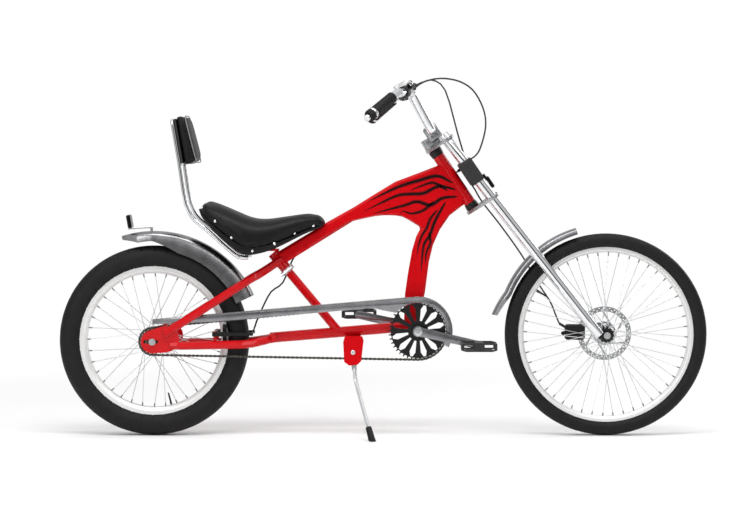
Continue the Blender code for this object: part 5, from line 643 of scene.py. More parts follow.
HUBS = (
    ("rear", REAR_AXLE, REAR_HUB, zinc, "silver_steel"),
    ("front", FRONT_AXLE, FRONT_HUB, stoving, "black_metal"),
)
for name, axle, profile, material, slot in HUBS:
    piece(f"{name}_hub_shell", [turned(axle, profile, 48)], material, f"{name}_wheel", sharp=25.0)


# Fork: two straight steel tubes, bright chrome, clamped by the crowns and open to the axle below.
# The plating is nearly a mirror, with faint polishing haze.
def bright_chrome(tree, place):
    """Chromium over polished steel: almost a mirror, with a faint haze where the buffing left it."""
    haze = node(tree, "ShaderNodeTexNoise", {"Vector": place, "Scale": 1 / 0.03, "Detail": 3.0})
    rough = node(tree, "ShaderNodeMapRange", {"Value": haze.outputs[0], "To Min": 0.05, "To Max": 0.12})
    return {"Base Color": linear("E6E7E9"), "Metallic": 1.0, "Roughness": rough.outputs[0]}


def swept(path, section, across):
    """A cross section of (u, v) rows carried along a path.

    Each ring is its path point plus u times the side and v times the rise. The side is the
    given crosswise way less its part along the path, and the rise is at right angles to both.
    """
    path = np.array(path, float)
    ahead = unit(np.gradient(path, axis=0))
    side = unit(across - ahead * np.sum(ahead * across, axis=1)[:, None])
    rise = np.cross(side, ahead)
    u, v = np.moveaxis(np.array(section, float), -1, 0)[..., None]
    return grid(path[:, None] + u * side[:, None] + v * rise[:, None], around=True, ends=True)


def circle(radius, sides):
    """A round section: radius times cos a and sin a."""
    a = TURN * np.arange(sides) / sides
    return np.column_stack([radius * np.cos(a), radius * np.sin(a)])


# The top of the head tube, and the two directions of the steering in the side view.
HEAD_TOP = np.array((0.16335, 0.0, 0.823881))
STEER_UP = np.array((-0.559193, 0.0, 0.829038))
STEER_FORWARD = np.array((0.829038, 0.0, 0.559193))


def on_fork(forward, left, up):
    """A place on the fork: the head's top plus the steps along the steering's own directions."""
    return HEAD_TOP + forward * STEER_FORWARD + up * STEER_UP + np.array((0.0, left, 0.0))


chrome = surface("bright_chrome_plate", bright_chrome)
# The legs' radius, half their distance, how far they stand ahead of the head's line at one level,
# and how much they close on it per metre up.
LEG_RADIUS, LEG_SPREAD, LEG_AHEAD, LEG_LEVEL, LEG_SLOPE = 0.015, 0.060, 0.0467, 0.027, 0.0699
LEG_TOP, LEG_FOOT = 0.046, -0.7003
# Steps from each end, and the share of the radius at each: both ends are rounded over.
FROM_FOOT = np.array([0.0, 0.0008, 0.0030, 0.0600, 0.2500, 0.4500, 0.6500])[:, None]
FROM_TOP = np.array([0.0030, 0.0008, 0.0])[:, None]
LEG_SHARES = np.array([0.78, 0.92, 1, 1, 1, 1, 1, 1, 0.93, 0.80])[:, None, None]
for side, leg in ((-1, "fork_leg_right"), (1, "fork_leg_left")):
    top, foot = (
        on_fork(LEG_AHEAD + (LEG_LEVEL - up) * LEG_SLOPE, LEG_SPREAD * side, up) for up in (LEG_TOP, LEG_FOOT)
    )
    along = unit(top - foot)
    line = np.vstack([foot + FROM_FOOT * along, top - FROM_TOP * along])
    section = circle(LEG_RADIUS, 40)[None] * LEG_SHARES
    rise = np.cross((0.0, 1.0, 0.0), along)
    rings = line[:, None] + section[..., :1] * (0.0, 1.0, 0.0) + section[..., 1:] * rise
    piece(f"{leg}_tube", [grid(rings, around=True, ends=True)], chrome, "steering", [leg], 40.0)


# Backrest bar: one steel tube bent to a tall loop and chromed, bolted under the seat pan.
# Its two legs run up behind the pad and meet in a crosspiece.
# x and z from the rear axle, up from the bolted foot; the foot itself stands a little further in.
LOOP_RADIUS, LOOP_SIDE, LOOP_FOOT_SIDE = 0.0059, 0.085, 0.074
LOOP = (
    (0.2800, 0.2478), (0.2640, 0.2480), (0.2480, 0.2535), (0.2130, 0.2820), (0.1660, 0.3250),
    (0.1250, 0.3590), (0.1055, 0.3920), (0.0965, 0.4255), (0.0835, 0.5134), (0.0720, 0.5820),
    (0.0630, 0.6360),
)
side_line = np.array([(REAR_AXLE[0] + x, -LOOP_SIDE, REAR_AXLE[1] + z) for x, z in LOOP])
side_line[0, 1] = -LOOP_FOOT_SIDE
bend = REAR_AXLE[0], REAR_AXLE[1] + 0.6470
crest = np.array([(bend[0] + 0.0620, -0.0810, bend[1] - 0.0050), (bend[0] + 0.0612, -0.0630, bend[1])])
half = np.vstack([side_line, crest])
loop_line = curve_through(np.vstack([half, half[::-1] * (1, -1, 1)]), 6)
# The section's crosswise way swings half round over the middle fifth, so it never lies along the bar.
swing = np.clip((np.arange(len(loop_line)) - len(loop_line) * 0.40) / (len(loop_line) * 0.20), 0, 1) * np.pi
crosswise = np.cos(swing)[:, None] * (0.0, 1.0, 0.0) + np.sin(swing)[:, None] * (0.986, 0.0, 0.165)
bar = swept(loop_line, circle(LOOP_RADIUS, 20), crosswise)
piece("backrest_bar_tube", [bar], chrome, "frame_body", ["sissy_bar"], 40.0)


# Seat cushion: foam on a pressed pan, under grained black vinyl that is pulled down and studded.
# Chrome-headed nails hold the skirt along both sides, and each one draws a shallow dimple.
def grained_vinyl(tree, place):
    """Embossed vinyl cloth: black, with small leather-like cells and a sheen that wear makes uneven."""
    leather = {"Vector": place, "Scale": 1 / 0.0022}
    cells = node(tree, "ShaderNodeTexVoronoi", leather, feature="DISTANCE_TO_EDGE")
    fine = node(tree, "ShaderNodeTexNoise", {"Vector": place, "Scale": 1 / 0.001, "Detail": 2.0})
    both = node(tree, "ShaderNodeMath", {0: cells.outputs[0], 1: fine.outputs[0]}, operation="ADD")
    worn = node(tree, "ShaderNodeTexNoise", {"Vector": place, "Scale": 1 / 0.04, "Detail": 3.0})
    rough = node(tree, "ShaderNodeMapRange", {"Value": worn.outputs[0], "To Min": 0.34, "To Max": 0.5})
    bumps = node(tree, "ShaderNodeBump", {"Height": both.outputs[0], "Distance": 0.00012, "Strength": 0.5})
    return {
        "Base Color": linear("0B0B0C"),
        "Roughness": rough.outputs[0],
        "IOR": 1.3,
        "Normal": bumps.outputs[0],
    }


vinyl = surface("grained_black_vinyl", grained_vinyl)
# x and z of the top, x and z of the foot, and half width, from tail to nose.
STATIONS = (
    (0.150, 0.406, 0.136, 0.386, 0.058), (0.158, 0.410, 0.150, 0.360, 0.085),
    (0.191, 0.4000, 0.191, 0.3150, 0.105), (0.2473, 0.3758, 0.2331, 0.2785, 0.112),
    (0.2898, 0.3590, 0.2644, 0.2590, 0.112), (0.3319, 0.3545, 0.2980, 0.2565, 0.107),
    (0.3886, 0.3616, 0.3461, 0.2685, 0.095), (0.4450, 0.3702, 0.3886, 0.2868, 0.077),
    (0.4800, 0.3742, 0.4450, 0.3150, 0.060), (0.4985, 0.3630, 0.4880, 0.3325, 0.047),
    (0.5060, 0.3500, 0.5000, 0.3390, 0.031),
)
# Shares of the half width and of the height, from the foot's middle round to the top's.
GIRTH = (
    (0.0, 0.17), (0.50, 0.17), (0.95, 0.17), (1.0, 0.22), (1.0, 0.34), (1.0, 0.60), (0.955, 0.80),
    (0.80, 0.95), (0.50, 1.0), (0.0, 1.0),
)


def seat_shell(half):
    """The cushion or its skirt as rings from tail to nose.

    Each ring point lies from the foot to the top of its station by its lift, which sags at
    the middle by a tenth of the square of its share across, and across by the half width.
    """
    rows = curve_through(STATIONS, 6)
    girth = curve_through(half, 5)
    ring = np.vstack([girth, girth[-2:0:-1] * (-1, 1)])
    across, up = ring.T
    lift = (up - 0.10 * np.maximum(0, up - 0.17) * across**2)[None, :]
    top_x, top_z, foot_x, foot_z, wide = rows.T[..., None]
    x = REAR_AXLE[0] + foot_x + (top_x - foot_x) * lift
    z = REAR_AXLE[1] + foot_z + (top_z - foot_z) * lift
    return grid(np.stack([x, wide * across[None, :], z], axis=-1), around=True, ends=True)


def set_places(mesh, places):
    """Writes new corner places into a mesh."""
    mesh.vertices.foreach_set("co", places.astype(np.float32).ravel())
    mesh.update()


def places_of(mesh):
    """The corner places of a mesh as rows."""
    places = np.empty(len(mesh.vertices) * 3, np.float32)
    mesh.vertices.foreach_get("co", places)
    return places.reshape(-1, 3).astype(float)


def settled(made):
    """Replaces a piece's mesh by what its modifiers make of it, and clears them."""
    shape = bpy.data.meshes.new_from_object(made.evaluated_get(bpy.context.evaluated_depsgraph_get()))
    made.modifiers.clear()
    made.data = shape
    shape.shade_smooth()


FOAM_STEPS, FOAM_PRESSURE = 20, 4.0


def stuffed(made, voxel, cap):
    """Fills a closed skin as foam does: cloth under pressure for some steps, no place moving past the cap."""
    skin = made.modifiers.new("skin", "REMESH")
    skin.mode = "VOXEL"
    skin.voxel_size = voxel
    settled(made)
    before = places_of(made.data)
    foam = made.modifiers.new("foam", "CLOTH")
    foam.settings.use_pressure = True
    foam.settings.uniform_pressure_force = FOAM_PRESSURE
    foam.settings.effector_weights.gravity = 0.0
    for step in range(1, FOAM_STEPS + 1):
        bpy.context.scene.frame_set(step)
    settled(made)
    bpy.context.scene.frame_set(1)
    move = places_of(made.data) - before
    length = np.maximum(np.linalg.norm(move, axis=1), 1e-9)[:, None]
    set_places(made.data, before + move * np.minimum(1, cap / length))


# The same shares for the skirt, which turns back in above its hem.
SKIRT = (
    (0.0, 0.0), (0.50, 0.0), (0.86, 0.0), (0.96, 0.03), (1.0, 0.09), (1.008, 0.17), (1.003, 0.215),
    (0.985, 0.200), (0.945, 0.165), (0.50, 0.160), (0.0, 0.160),
)
seat = piece("seat_cushion_cover", [seat_shell(GIRTH)], vinyl, "frame_body", ["seat_cushion"])
skirt = piece("seat_skirt", [seat_shell(SKIRT)], vinyl, "frame_body", ["seat_base"])
stuffed(seat, 0.005, 0.004)
# x and z of the nails from tail to nose; both sides have them, set in the skin or the skirt.
NAILS_AT = (
    (-0.531074, 0.673102), (-0.490684, 0.633583), (-0.441867, 0.585057), (-0.379394, 0.548154),
    (-0.315467, 0.568785), (-0.255609, 0.594646), (-0.203015, 0.617021),
)
skin = seat.data
corners = [place for mesh in (skin, skirt.data) for place in places_of(mesh).tolist()]
joined = [list(face.vertices) for face in skin.polygons]
joined += [[number + len(skin.vertices) for number in face.vertices] for face in skirt.data.polygons]
tree_of_skin = BVHTree.FromPolygons(corners, joined)
nails, ways = [], []
for x, z in NAILS_AT:
    for side in (-1, 1):
        hit, facing, _, _ = tree_of_skin.ray_cast(Vector((x, 0.3 * side, z)), Vector((0, -side, 0)))
        if hit:
            nails.append(hit[:])
            ways.append(facing[:])
nails, ways = np.array(nails), np.array(ways)
DIMPLE_DEPTH, DIMPLE_REACH = 0.0028, 0.0085
skin_places = places_of(skin)
apart = np.linalg.norm(skin_places[:, None] - nails[None], axis=2)
dimple = DIMPLE_DEPTH * np.exp(-((apart / DIMPLE_REACH) ** 2))
set_places(skin, skin_places - dimple @ ways)
soft = seat.modifiers.new("soft", "SUBSURF")
soft.levels = soft.render_levels = 1

# The pan and the foam are cut away over the frame's spine, which runs up under the nose.
SPINE_FOOT, SPINE_TOP = np.array((-0.3037, 0.0, 0.523)), np.array((0.16335, 0.0, 0.82388))
spine_way = unit(SPINE_TOP - SPINE_FOOT)
spine_rise = np.array((-spine_way[2], 0.0, spine_way[0]))
BLOCK_SIZE, BLOCK_AHEAD, BLOCK_BELOW = (0.250, 0.0385, 0.104), 0.145, 0.030
BLOCK = np.array([(x, y, z) for x in (-1, 1) for y in (-1, 1) for z in (-1, 1)]) / 2 * BLOCK_SIZE
block = SPINE_FOOT + (BLOCK[:, :1] + BLOCK_AHEAD) * spine_way + (BLOCK[:, 2:] - BLOCK_BELOW) * spine_rise
block = block + BLOCK[:, 1:2] * (0.0, 1.0, 0.0)
SIDES = np.array([(0, 1, 3, 2), (4, 6, 7, 5), (0, 4, 5, 1), (2, 3, 7, 6), (0, 2, 6, 4), (1, 5, 7, 3)])
cutter = piece("spine_block", [(block, [SIDES])], vinyl, "frame_body")
for cover in (seat, skirt):
    channel = cover.modifiers.new("channel", "BOOLEAN")
    channel.operation = "DIFFERENCE"
    channel.solver = "EXACT"
    channel.object = cutter
    settled(cover)
    cover.data.set_sharp_from_angle(angle=np.radians(45))
bpy.data.objects.remove(cutter)


def domes(places, ways, profile, sides):
    """Small turned heads on a surface.

    Each ring is the place plus its height along the way out, plus its radius times cos a and
    sin a along two unit vectors at right angles to that way.
    """
    ways = unit(ways)
    side = square_to(ways)
    rise = np.cross(ways, side)
    a = (TURN * np.arange(sides) / sides)[:, None]
    shells = []
    for place, way, u, v in zip(places, ways, side, rise):
        radius, height = np.array(profile, float).T[..., None, None]
        rings = place + height * way + radius * (np.cos(a) * u + np.sin(a) * v)
        shells.append(grid(rings, around=True, ends=True))
    return shells


# Radius and height of each ring of a nail's head, which sinks into the cover.
NAIL_SINK = 0.0020
NAIL = ((0.0050, -0.0022), (0.0053, -0.0006), (0.0046, 0.0010), (0.0030, 0.0022), (0.0009, 0.0027))
heads = domes(nails - NAIL_SINK * ways, ways, NAIL, 14)
piece("seat_nail_heads", heads, chrome, "frame_body", sharp=60.0)


# Backrest pad: a foam block on a plastic back plate, in the same vinyl, with a pale welt.
# The welt is a cord sewn in where the face meets the sides; its pale grey is a painted highlight for the
# light the pad's edge catches.
PAD_LOW = np.array((-0.592, 0.0, 0.7934))
PAD_UP = np.array((-0.1649, 0.0, 0.9863))
PAD_FRONT = np.array((0.9863, 0.0, 0.1649))
# The pad's back stands this far before its foot line, and its middle this far up the slope.
PAD_BACK, PAD_MIDDLE = 0.0124, 0.0735


def in_pad(front, left, up):
    """A place on the pad from its steps to the front, left and up its slope."""
    front, left, up = (part[..., None] for part in np.broadcast_arrays(front, left, up))
    return PAD_LOW + front * PAD_FRONT + left * np.array((0.0, 1.0, 0.0)) + up * PAD_UP


def pad_shell():
    """The pad as rings up its slope, each a rounded rectangle.

    A ring point is cos a to the power 0.42 times half the depth, and sin a to the power 0.30
    times the half width, with their signs kept. Both shrink towards the ends by the root of
    one minus the share to the power 7.
    """
    share = np.linspace(-1, 1, 26)[:, None]
    draw = (1 - np.abs(share) ** 7) ** 0.5
    a = TURN * np.arange(56)[None, :] / 56
    fold_front = np.sign(np.cos(a)) * np.abs(np.cos(a)) ** 0.42
    fold_side = np.sign(np.sin(a)) * np.abs(np.sin(a)) ** 0.30
    up = PAD_MIDDLE + 0.0715 * share
    depth = (0.0420 - 0.0130 * (share + 1) / 2) * (0.55 + 0.45 * draw)
    front = PAD_BACK + depth / 2 + fold_front * depth / 2
    left = 0.0975 * (0.86 + 0.14 * draw) * fold_side
    return grid(in_pad(front, left, up + 0 * a), around=True, ends=True)


pad = piece("backrest_pad_cover", [pad_shell()], vinyl, "frame_body", ["backrest_pad"])
stuffed(pad, 0.0045, 0.0035)
soft = pad.modifiers.new("soft", "SUBSURF")
soft.levels = soft.render_levels = 1


def welt_painted_highlight(tree, place):
    """Plastic cord: a pale grey that is a painted highlight along the pad's edge, uneven with dirt from
    hands.
    """
    soil = node(tree, "ShaderNodeTexNoise", {"Vector": place, "Scale": 1 / 0.006, "Detail": 3.0})
    # the two pale greys are a painted highlight for the pad's lit edge; the noise between them stands for
    # dirt
    greys = {0: soil.outputs[0], 6: linear("6A6A69"), 7: linear("8C8C8A")}
    tint = node(tree, "ShaderNodeMix", greys, data_type="RGBA")
    return {"Base Color": tint.outputs[2], "Roughness": 0.45}


# The seam's rounded outline is sin a and cos a to the power 0.32, with their signs kept, times half
# the width and half the height. It stands further back towards the top, where the pad is thinner.
WELT_RADIUS, ROUNDING = 0.0017, 0.32
a = TURN * np.arange(72) / 72
round_left = np.sign(np.sin(a)) * np.abs(np.sin(a)) ** ROUNDING
round_up = np.sign(np.cos(a)) * np.abs(np.cos(a)) ** ROUNDING
rise = PAD_MIDDLE + 0.0700 * round_up
seam = in_pad(PAD_BACK + 0.0385 - 0.0125 * rise / 0.147, 0.0935 * round_left, rise)
outward = unit(in_pad(0.0 * a, round_left, round_up) - PAD_LOW)
cord = circle(WELT_RADIUS, 10)
rings = seam[:, None] + cord[None, :, :1] * PAD_FRONT + cord[None, :, 1:] * outward[:, None]
welt = surface("welt_painted_edge_highlight", welt_painted_highlight)
cord_shell = grid(rings, around=True, along=True)
piece("backrest_pad_welt_painted_highlight", [cord_shell], welt, "frame_body", sharp=60.0)


# Fenders: rolled steel sheet, edged by a turned lip, each arched over its tyre.
# The rear one has smoked chrome and is bolted to the frame's bridge, where its tail carries the reflector.
# The front one has satin nickel and hangs between the fork legs on two bolts.
def dull_plating(dark, pale, strength):
    """Plating over unpolished sheet: a soft grey metal with stains, and specks raised by the strength."""

    def sockets(tree, place):
        stain = node(tree, "ShaderNodeTexNoise", {"Vector": place, "Scale": 1 / 0.045, "Detail": 3.0})
        speck = node(tree, "ShaderNodeTexNoise", {"Vector": place, "Scale": 1 / 0.0025, "Detail": 3.0})
        mixed = {0: speck.outputs[0], 1: 0.35, 2: stain.outputs[0]}
        blend = node(tree, "ShaderNodeMath", mixed, operation="MULTIPLY_ADD")
        tint = node(tree, "ShaderNodeValToRGB", {"Fac": blend.outputs[0]}, stops=[(0.45, dark), (0.85, pale)])
        raised = {"Height": speck.outputs[0], "Distance": 0.00003, "Strength": strength}
        bumps = node(tree, "ShaderNodeBump", raised)
        return {"Base Color": tint.outputs[0], "Metallic": 1.0, "Roughness": 0.27, "Normal": bumps.outputs[0]}

    return sockets


smoked = surface("smoked_chrome_sheet", dull_plating("747476", "9C9C9E", 0.5))
brushed = surface("satin_nickel_sheet", dull_plating("7C7C7F", "98989B", 0.12))
# The sheet's thickness, and its arch: shares of the half width and of the depth.
SHEET = 0.0016
ARCH = (
    (-1.0, 1.0), (-0.985, 0.70), (-0.95, 0.44), (-0.87, 0.22), (-0.72, 0.08), (-0.50, 0.015),
    (-0.25, 0.0), (0.0, 0.0), (0.25, 0.0), (0.50, 0.015), (0.72, 0.08), (0.87, 0.22), (0.95, 0.44),
    (0.985, 0.70), (1.0, 1.0),
)


def fender(centre, radius, half_width, turn, rows, depths, spreads, rises=((0.0, 0.0), (1.0, 0.0))):
    """A sheet arched over a tyre and bowed across, with a rounded rim.

    A row lies at its share of the turn. Its points stand at the radius plus the rise less
    the depth times the fall of the arch, and across by the half width times the spread. The
    inner face follows at the sheet's thickness, along the arch's own normal.
    """
    share = np.linspace(0, 1, rows)
    angle = np.radians(turn[0] + (turn[1] - turn[0]) * share)[:, None]
    depth, spread, rise = (
        np.interp(share, *np.array(pairs).T)[:, None] for pairs in (depths, spreads, rises)
    )
    arch = curve_through(ARCH, 3)
    across, fall = arch.T
    slope = np.gradient(np.column_stack([half_width * across, -depth.max() * fall]), axis=0)
    normal = unit(np.column_stack([-slope[:, 1], slope[:, 0]]))
    layers = []
    for inner in (0.0, SHEET):
        y = half_width * spread * across[None, :] - inner * normal[None, :, 0]
        reach = radius + rise - depth * fall[None, :] - inner * normal[None, :, 1]
        x = centre[0] + reach * np.cos(angle)
        z = centre[1] + reach * np.sin(angle)
        layers.append(np.stack([x, y, z], axis=-1))
    return grid(np.concatenate([layers[0], layers[1][:, ::-1]], axis=1), around=True, ends=True)


rear_arch = fender(
    REAR_AXLE,
    radius=0.3225,
    half_width=0.0455,
    turn=(107.0, 24.5),
    rows=90,
    depths=((0, 0.012), (0.10, 0.030), (0.20, 0.028), (0.30, 0.042), (0.40, 0.054), (1, 0.054)),
    spreads=((0, 0.55), (0.10, 0.90), (0.20, 1.0), (1, 1.0)),
)
piece("rear_fender_sheet", [rear_arch], smoked, "frame_body", ["rear_fender"], 50.0)
front_arch = fender(
    FRONT_AXLE,
    radius=0.3230,
    half_width=0.0340,
    turn=(106.0, 170.0),
    rows=60,
    depths=((0, 0.018), (0.85, 0.020), (1, 0.016)),
    spreads=((0, 1.0), (0.85, 1.0), (1, 0.75)),
    rises=((0, 0.003), (0.8, 0.0), (1, 0.018)),
)
# Two bolts run from the sheet's sides out to the legs.
BOLT_RADIUS, BOLT_LINE = 0.0042, on_fork(0.0768, 0.0, -0.4030)
inside, outside = np.array((0, 0.030, 0)), np.array((0, 0.0447, 0))
shanks = rods(
    [BOLT_LINE - inside, BOLT_LINE + inside],
    [BOLT_LINE - outside, BOLT_LINE + outside],
    BOLT_RADIUS,
    12,
)
piece("front_fender_sheet", [front_arch, shanks], brushed, "steering", ["front_fender"], 50.0)


# Chain guard and cranks: a pressed steel cover with a rolled band, and two forged arms.
# Both have the front fender's satin plating, and rounded edges that catch the light.
def eased(name, width, material, body):
    """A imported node's copy, its triangles joined and its hard edges rounded by the width."""
    shape = bmesh.new()
    shape.from_mesh(nodes[name].data)
    bmesh.ops.remove_doubles(shape, verts=shape.verts, dist=JOINED_WITHIN)
    mesh = bpy.data.meshes.new(name + "_rounded")
    shape.to_mesh(mesh)
    shape.free()
    mesh.shade_smooth()
    made = placed(name + "_rounded", mesh, material, body, [name])
    bevel = made.modifiers.new("bevel", "BEVEL")
    bevel.width, bevel.segments = width, 3
    bevel.limit_method, bevel.angle_limit = "ANGLE", np.radians(38)
    bevel.harden_normals = True


eased("chain_guard", 0.0014, brushed, "frame_body")
for name in ("crank_arm_right", "crank_arm_left"):
    eased(name, 0.0032, brushed, "crank")


# Artwork on the spine: plain tapering licks in gloss black over dark maroon, under clear lacquer.
# Both sides carry the same licks, cut from thin film.
def gloss_film(code):
    """A glossy painted film of one colour with a faint cloud in it."""

    def sockets(tree, place):
        cloud = node(tree, "ShaderNodeTexNoise", {"Vector": place, "Scale": 1 / 0.02, "Detail": 2.0})
        rough = node(tree, "ShaderNodeMapRange", {"Value": cloud.outputs[0], "To Min": 0.24, "To Max": 0.34})
        return {"Base Color": linear(code), "Roughness": rough.outputs[0], "IOR": 1.3, "Coat Weight": 0.2}

    return sockets


# Half the spine's thickness, the film's own thickness, and the rows along a stroke.
SPINE_SIDE, FILM, LICK_ROWS = 0.0175, 0.0002, 44


def lick(points, width, lift):
    """A flat stroke that tapers to its tip, on both sides of the spine.

    Its half width at the share t of its length is the full half width times
    t^0.4 (1 - t)^0.8, times 1.75 so that the widest place has it.
    """
    line = even(curve_through(points, 8), LICK_ROWS)
    t = np.linspace(0, 1, LICK_ROWS)[:, None]
    ahead = unit(np.gradient(line, axis=0))
    normal = ahead[:, ::-1] * (-1, 1)
    half = np.maximum(width / 2 * 1.75 * t**0.4 * (1 - t) ** 0.8, 0.0003)
    edges = np.stack([line + half * normal, line - half * normal], axis=1)
    shells = []
    for side in (-1, 1):
        layers = []
        for out in (lift, lift + FILM):
            y = np.full(edges.shape[:2], side * (SPINE_SIDE + out))
            layers.append(np.stack([edges[..., 0], y, edges[..., 1]], axis=-1))
        shells.append(grid(np.concatenate([layers[0], layers[1][:, ::-1]], axis=1), around=True, ends=True))
    return shells


# Width at the widest place, then x and z along the stroke. The maroon one below each is wider, by a
# share and a margin, and both are lifted clear of the enamel.
UNDER_SHARE, UNDER_MARGIN, UNDER_LIFT, OVER_LIFT = 1.3, 0.0045, 0.0003, 0.0007
LICKS = (
    (0.0085, (0.205, 0.745), (0.160, 0.765), (0.105, 0.752), (0.050, 0.735), (0.000, 0.712), (-0.045, 0.690)),
    (0.008, (0.215, 0.725), (0.165, 0.735), (0.120, 0.715), (0.075, 0.712), (0.035, 0.705), (-0.055, 0.662)),
    (0.008, (0.220, 0.705), (0.175, 0.700), (0.140, 0.680), (0.100, 0.690), (0.060, 0.678), (-0.030, 0.655)),
    (0.006, (0.150, 0.690), (0.120, 0.665), (0.085, 0.655), (0.060, 0.662), (0.050, 0.655)),
    (0.007, (0.185, 0.690), (0.165, 0.655), (0.150, 0.625), (0.138, 0.590), (0.120, 0.560), (0.112, 0.480)),
    (0.0055, (0.160, 0.665), (0.140, 0.640), (0.128, 0.610), (0.115, 0.590), (0.105, 0.560), (0.100, 0.530)),
    (0.005, (0.135, 0.600), (0.140, 0.570), (0.128, 0.540), (0.125, 0.505)),
    (0.0055, (0.190, 0.722), (0.150, 0.745), (0.110, 0.735), (0.080, 0.722)),
)
under, over = [], []
for width, *points in LICKS:
    under += lick(points, width * UNDER_SHARE + UNDER_MARGIN, UNDER_LIFT)
    over += lick(points, width, OVER_LIFT)
maroon = surface("maroon_lacquered_film", gloss_film("7A0409"))
ink = surface("black_lacquered_film", gloss_film("120506"))
piece("spine_licks_maroon", under, maroon, "frame_body")
piece("spine_licks_black", over, ink, "frame_body")


# Front brake disc: stamped stainless steel, drilled in two rows, with six swept arms to its carrier.
# Six screws hold it to the hub.
def stainless(tree, place):
    """Ground stainless steel: a middle grey in rings round the hub, rubbed duller and brighter by turns."""
    grinding = {"W": from_axle(tree, place, FRONT_AXLE), "Scale": 1 / 0.0008, "Detail": 2.0}
    rubbed = node(tree, "ShaderNodeTexNoise", grinding, noise_dimensions="1D")
    rough = node(tree, "ShaderNodeMapRange", {"Value": rubbed.outputs[0], "To Min": 0.2, "To Max": 0.4})
    return {"Base Color": linear("B4B5B6"), "Metallic": 1.0, "Roughness": rough.outputs[0]}


def stamped(name, outlines, thickness):
    """A flat blank from closed outlines, the first one its edge and the rest its holes, as a mesh."""
    drawing = bpy.data.curves.new(name, "CURVE")
    drawing.dimensions = "2D"
    drawing.fill_mode = "BOTH"
    drawing.extrude = thickness / 2
    for outline in outlines:
        line = drawing.splines.new("POLY")
        line.points.add(len(outline) - 1)
        level_row, weight_row = np.zeros(len(outline)), np.ones(len(outline))
        line.points.foreach_set("co", np.column_stack([outline, level_row, weight_row]).ravel())
        line.use_cyclic_u = True
    blank = bpy.data.objects.new(name, drawing)
    bpy.context.scene.collection.objects.link(blank)
    mesh = bpy.data.meshes.new_from_object(blank.evaluated_get(bpy.context.evaluated_depsgraph_get()))
    bpy.data.objects.remove(blank)
    return mesh


DISC_RADIUS, DISC_BORE, DISC_THICKNESS, DISC_PLACE = 0.0797, 0.0158, 0.0022, 0.0410
SCREW_CIRCLE, SCREW_HOLE, VENT_HOLE, VENTS = 0.0258, 0.0042, 0.0021, 30
# A window's inner and outer radius, the number of arms, their sweep and half their width.
ARMS, inner, outer, sweep, half_arm = 6, 0.0350, 0.0650, np.radians(34), 0.0034
outlines = [circle(DISC_RADIUS, 180), circle(DISC_BORE, 48)]
for arm in range(ARMS):
    first, last = TURN * arm / ARMS, TURN * (arm + 1) / ARMS
    low = np.linspace(first + half_arm / inner, last - half_arm / inner, 12)
    high = np.linspace(last + sweep - half_arm / outer, first + sweep + half_arm / outer, 20)
    near_edge = inner * np.column_stack([np.cos(low), np.sin(low)])
    far_edge = outer * np.column_stack([np.cos(high), np.sin(high)])
    outlines.append(np.vstack([near_edge, far_edge]))
    screw = SCREW_CIRCLE * np.array([np.cos(first + 0.5), np.sin(first + 0.5)])
    outlines.append(screw + circle(SCREW_HOLE, 14))
for row, shift in ((0.0694, 0.0), (0.0752, 0.5)):
    for hole in range(VENTS):
        turn = TURN * (hole + shift) / VENTS
        outlines.append((row * np.cos(turn), row * np.sin(turn)) + circle(VENT_HOLE, 10))
disc_mesh = stamped("disc_blank", outlines, DISC_THICKNESS)
across, up, out = places_of(disc_mesh).T
set_places(disc_mesh, np.column_stack([FRONT_AXLE[0] + across, DISC_PLACE + out, FRONT_AXLE[1] + up]))
shape = bmesh.new()
shape.from_mesh(disc_mesh)
bmesh.ops.remove_doubles(shape, verts=shape.verts, dist=0.000002)
bmesh.ops.recalc_face_normals(shape, faces=shape.faces)
shape.to_mesh(disc_mesh)
shape.free()
disc_mesh.shade_smooth()
disc_mesh.set_sharp_from_angle(angle=np.radians(30))
steel = surface("ground_stainless_steel", stainless)
placed("brake_disc", disc_mesh, steel, "front_wheel", ["brake_rotor"])


# Handlebar: one chromed steel tube, 25 mm across, bent up in two risers and pulled back to the grips.
# The stem clamp grips it in the middle.
BAR_MIDDLE = np.array((0.142571, 0.0, 0.896713))
# The bar's radius, and its route from the clamp's middle to the right end.
BAR_RADIUS = 0.0127
BAR_ROUTE = np.array((
    (0.0, 0.0, 0.0), (0.0, -0.038, 0.0), (-0.005, -0.052, 0.010), (-0.028, -0.064, 0.052),
    (-0.052, -0.078, 0.097), (-0.062, -0.094, 0.111), (-0.0725, -0.145, 0.1125),
    (-0.0890, -0.190, 0.1090), (-0.1078, -0.222, 0.1010), (-0.1772, -0.3085, 0.0419),
))
bar_line = curve_through(BAR_MIDDLE + np.vstack([BAR_ROUTE[:0:-1] * (1, -1, 1), BAR_ROUTE]), 10)
bar = swept(bar_line, circle(BAR_RADIUS, 32), (0.894, 0.0, 0.447))
piece("handlebar_tube", [bar], chrome, "steering", ["handlebar"], 50.0)


# Grips: soft black rubber sleeves with rolled rings, pushed over the bar's ends.
# A chromed collar, a black cap and a small chromed plug close each one.
# Radius of each ring and its place along the bar; the sleeve's ridges are 7.2 mm apart.
RIDGE_PITCH, RINGS = 0.0072, np.linspace(0.004, 0.090, 76)
SLEEVE = [(0.0128, 0.0), (0.0158, 0.0006), (0.0166, 0.0020)]
SLEEVE += [(0.0152 + 0.0012 * abs(np.sin(np.pi * run / RIDGE_PITCH)) ** 0.5, run) for run in RINGS]
SLEEVE += [(0.0160, 0.0915), (0.0166, 0.0935), (0.0160, 0.0955), (0.0128, 0.0960)]
COLLAR = (
    (0.0130, 0.0964), (0.0170, 0.0966), (0.0177, 0.0976), (0.0177, 0.1034),
    (0.0170, 0.1044), (0.0130, 0.1046),
)
CAP = (
    (0.0130, 0.1050), (0.0160, 0.1052), (0.0172, 0.1090), (0.0172, 0.1150),
    (0.0150, 0.1200), (0.0090, 0.1216),
)
PLUG = (
    (0.0080, 0.1212), (0.0094, 0.1218), (0.0098, 0.1240), (0.0098, 0.1290),
    (0.0088, 0.1310), (0.0040, 0.1317),
)
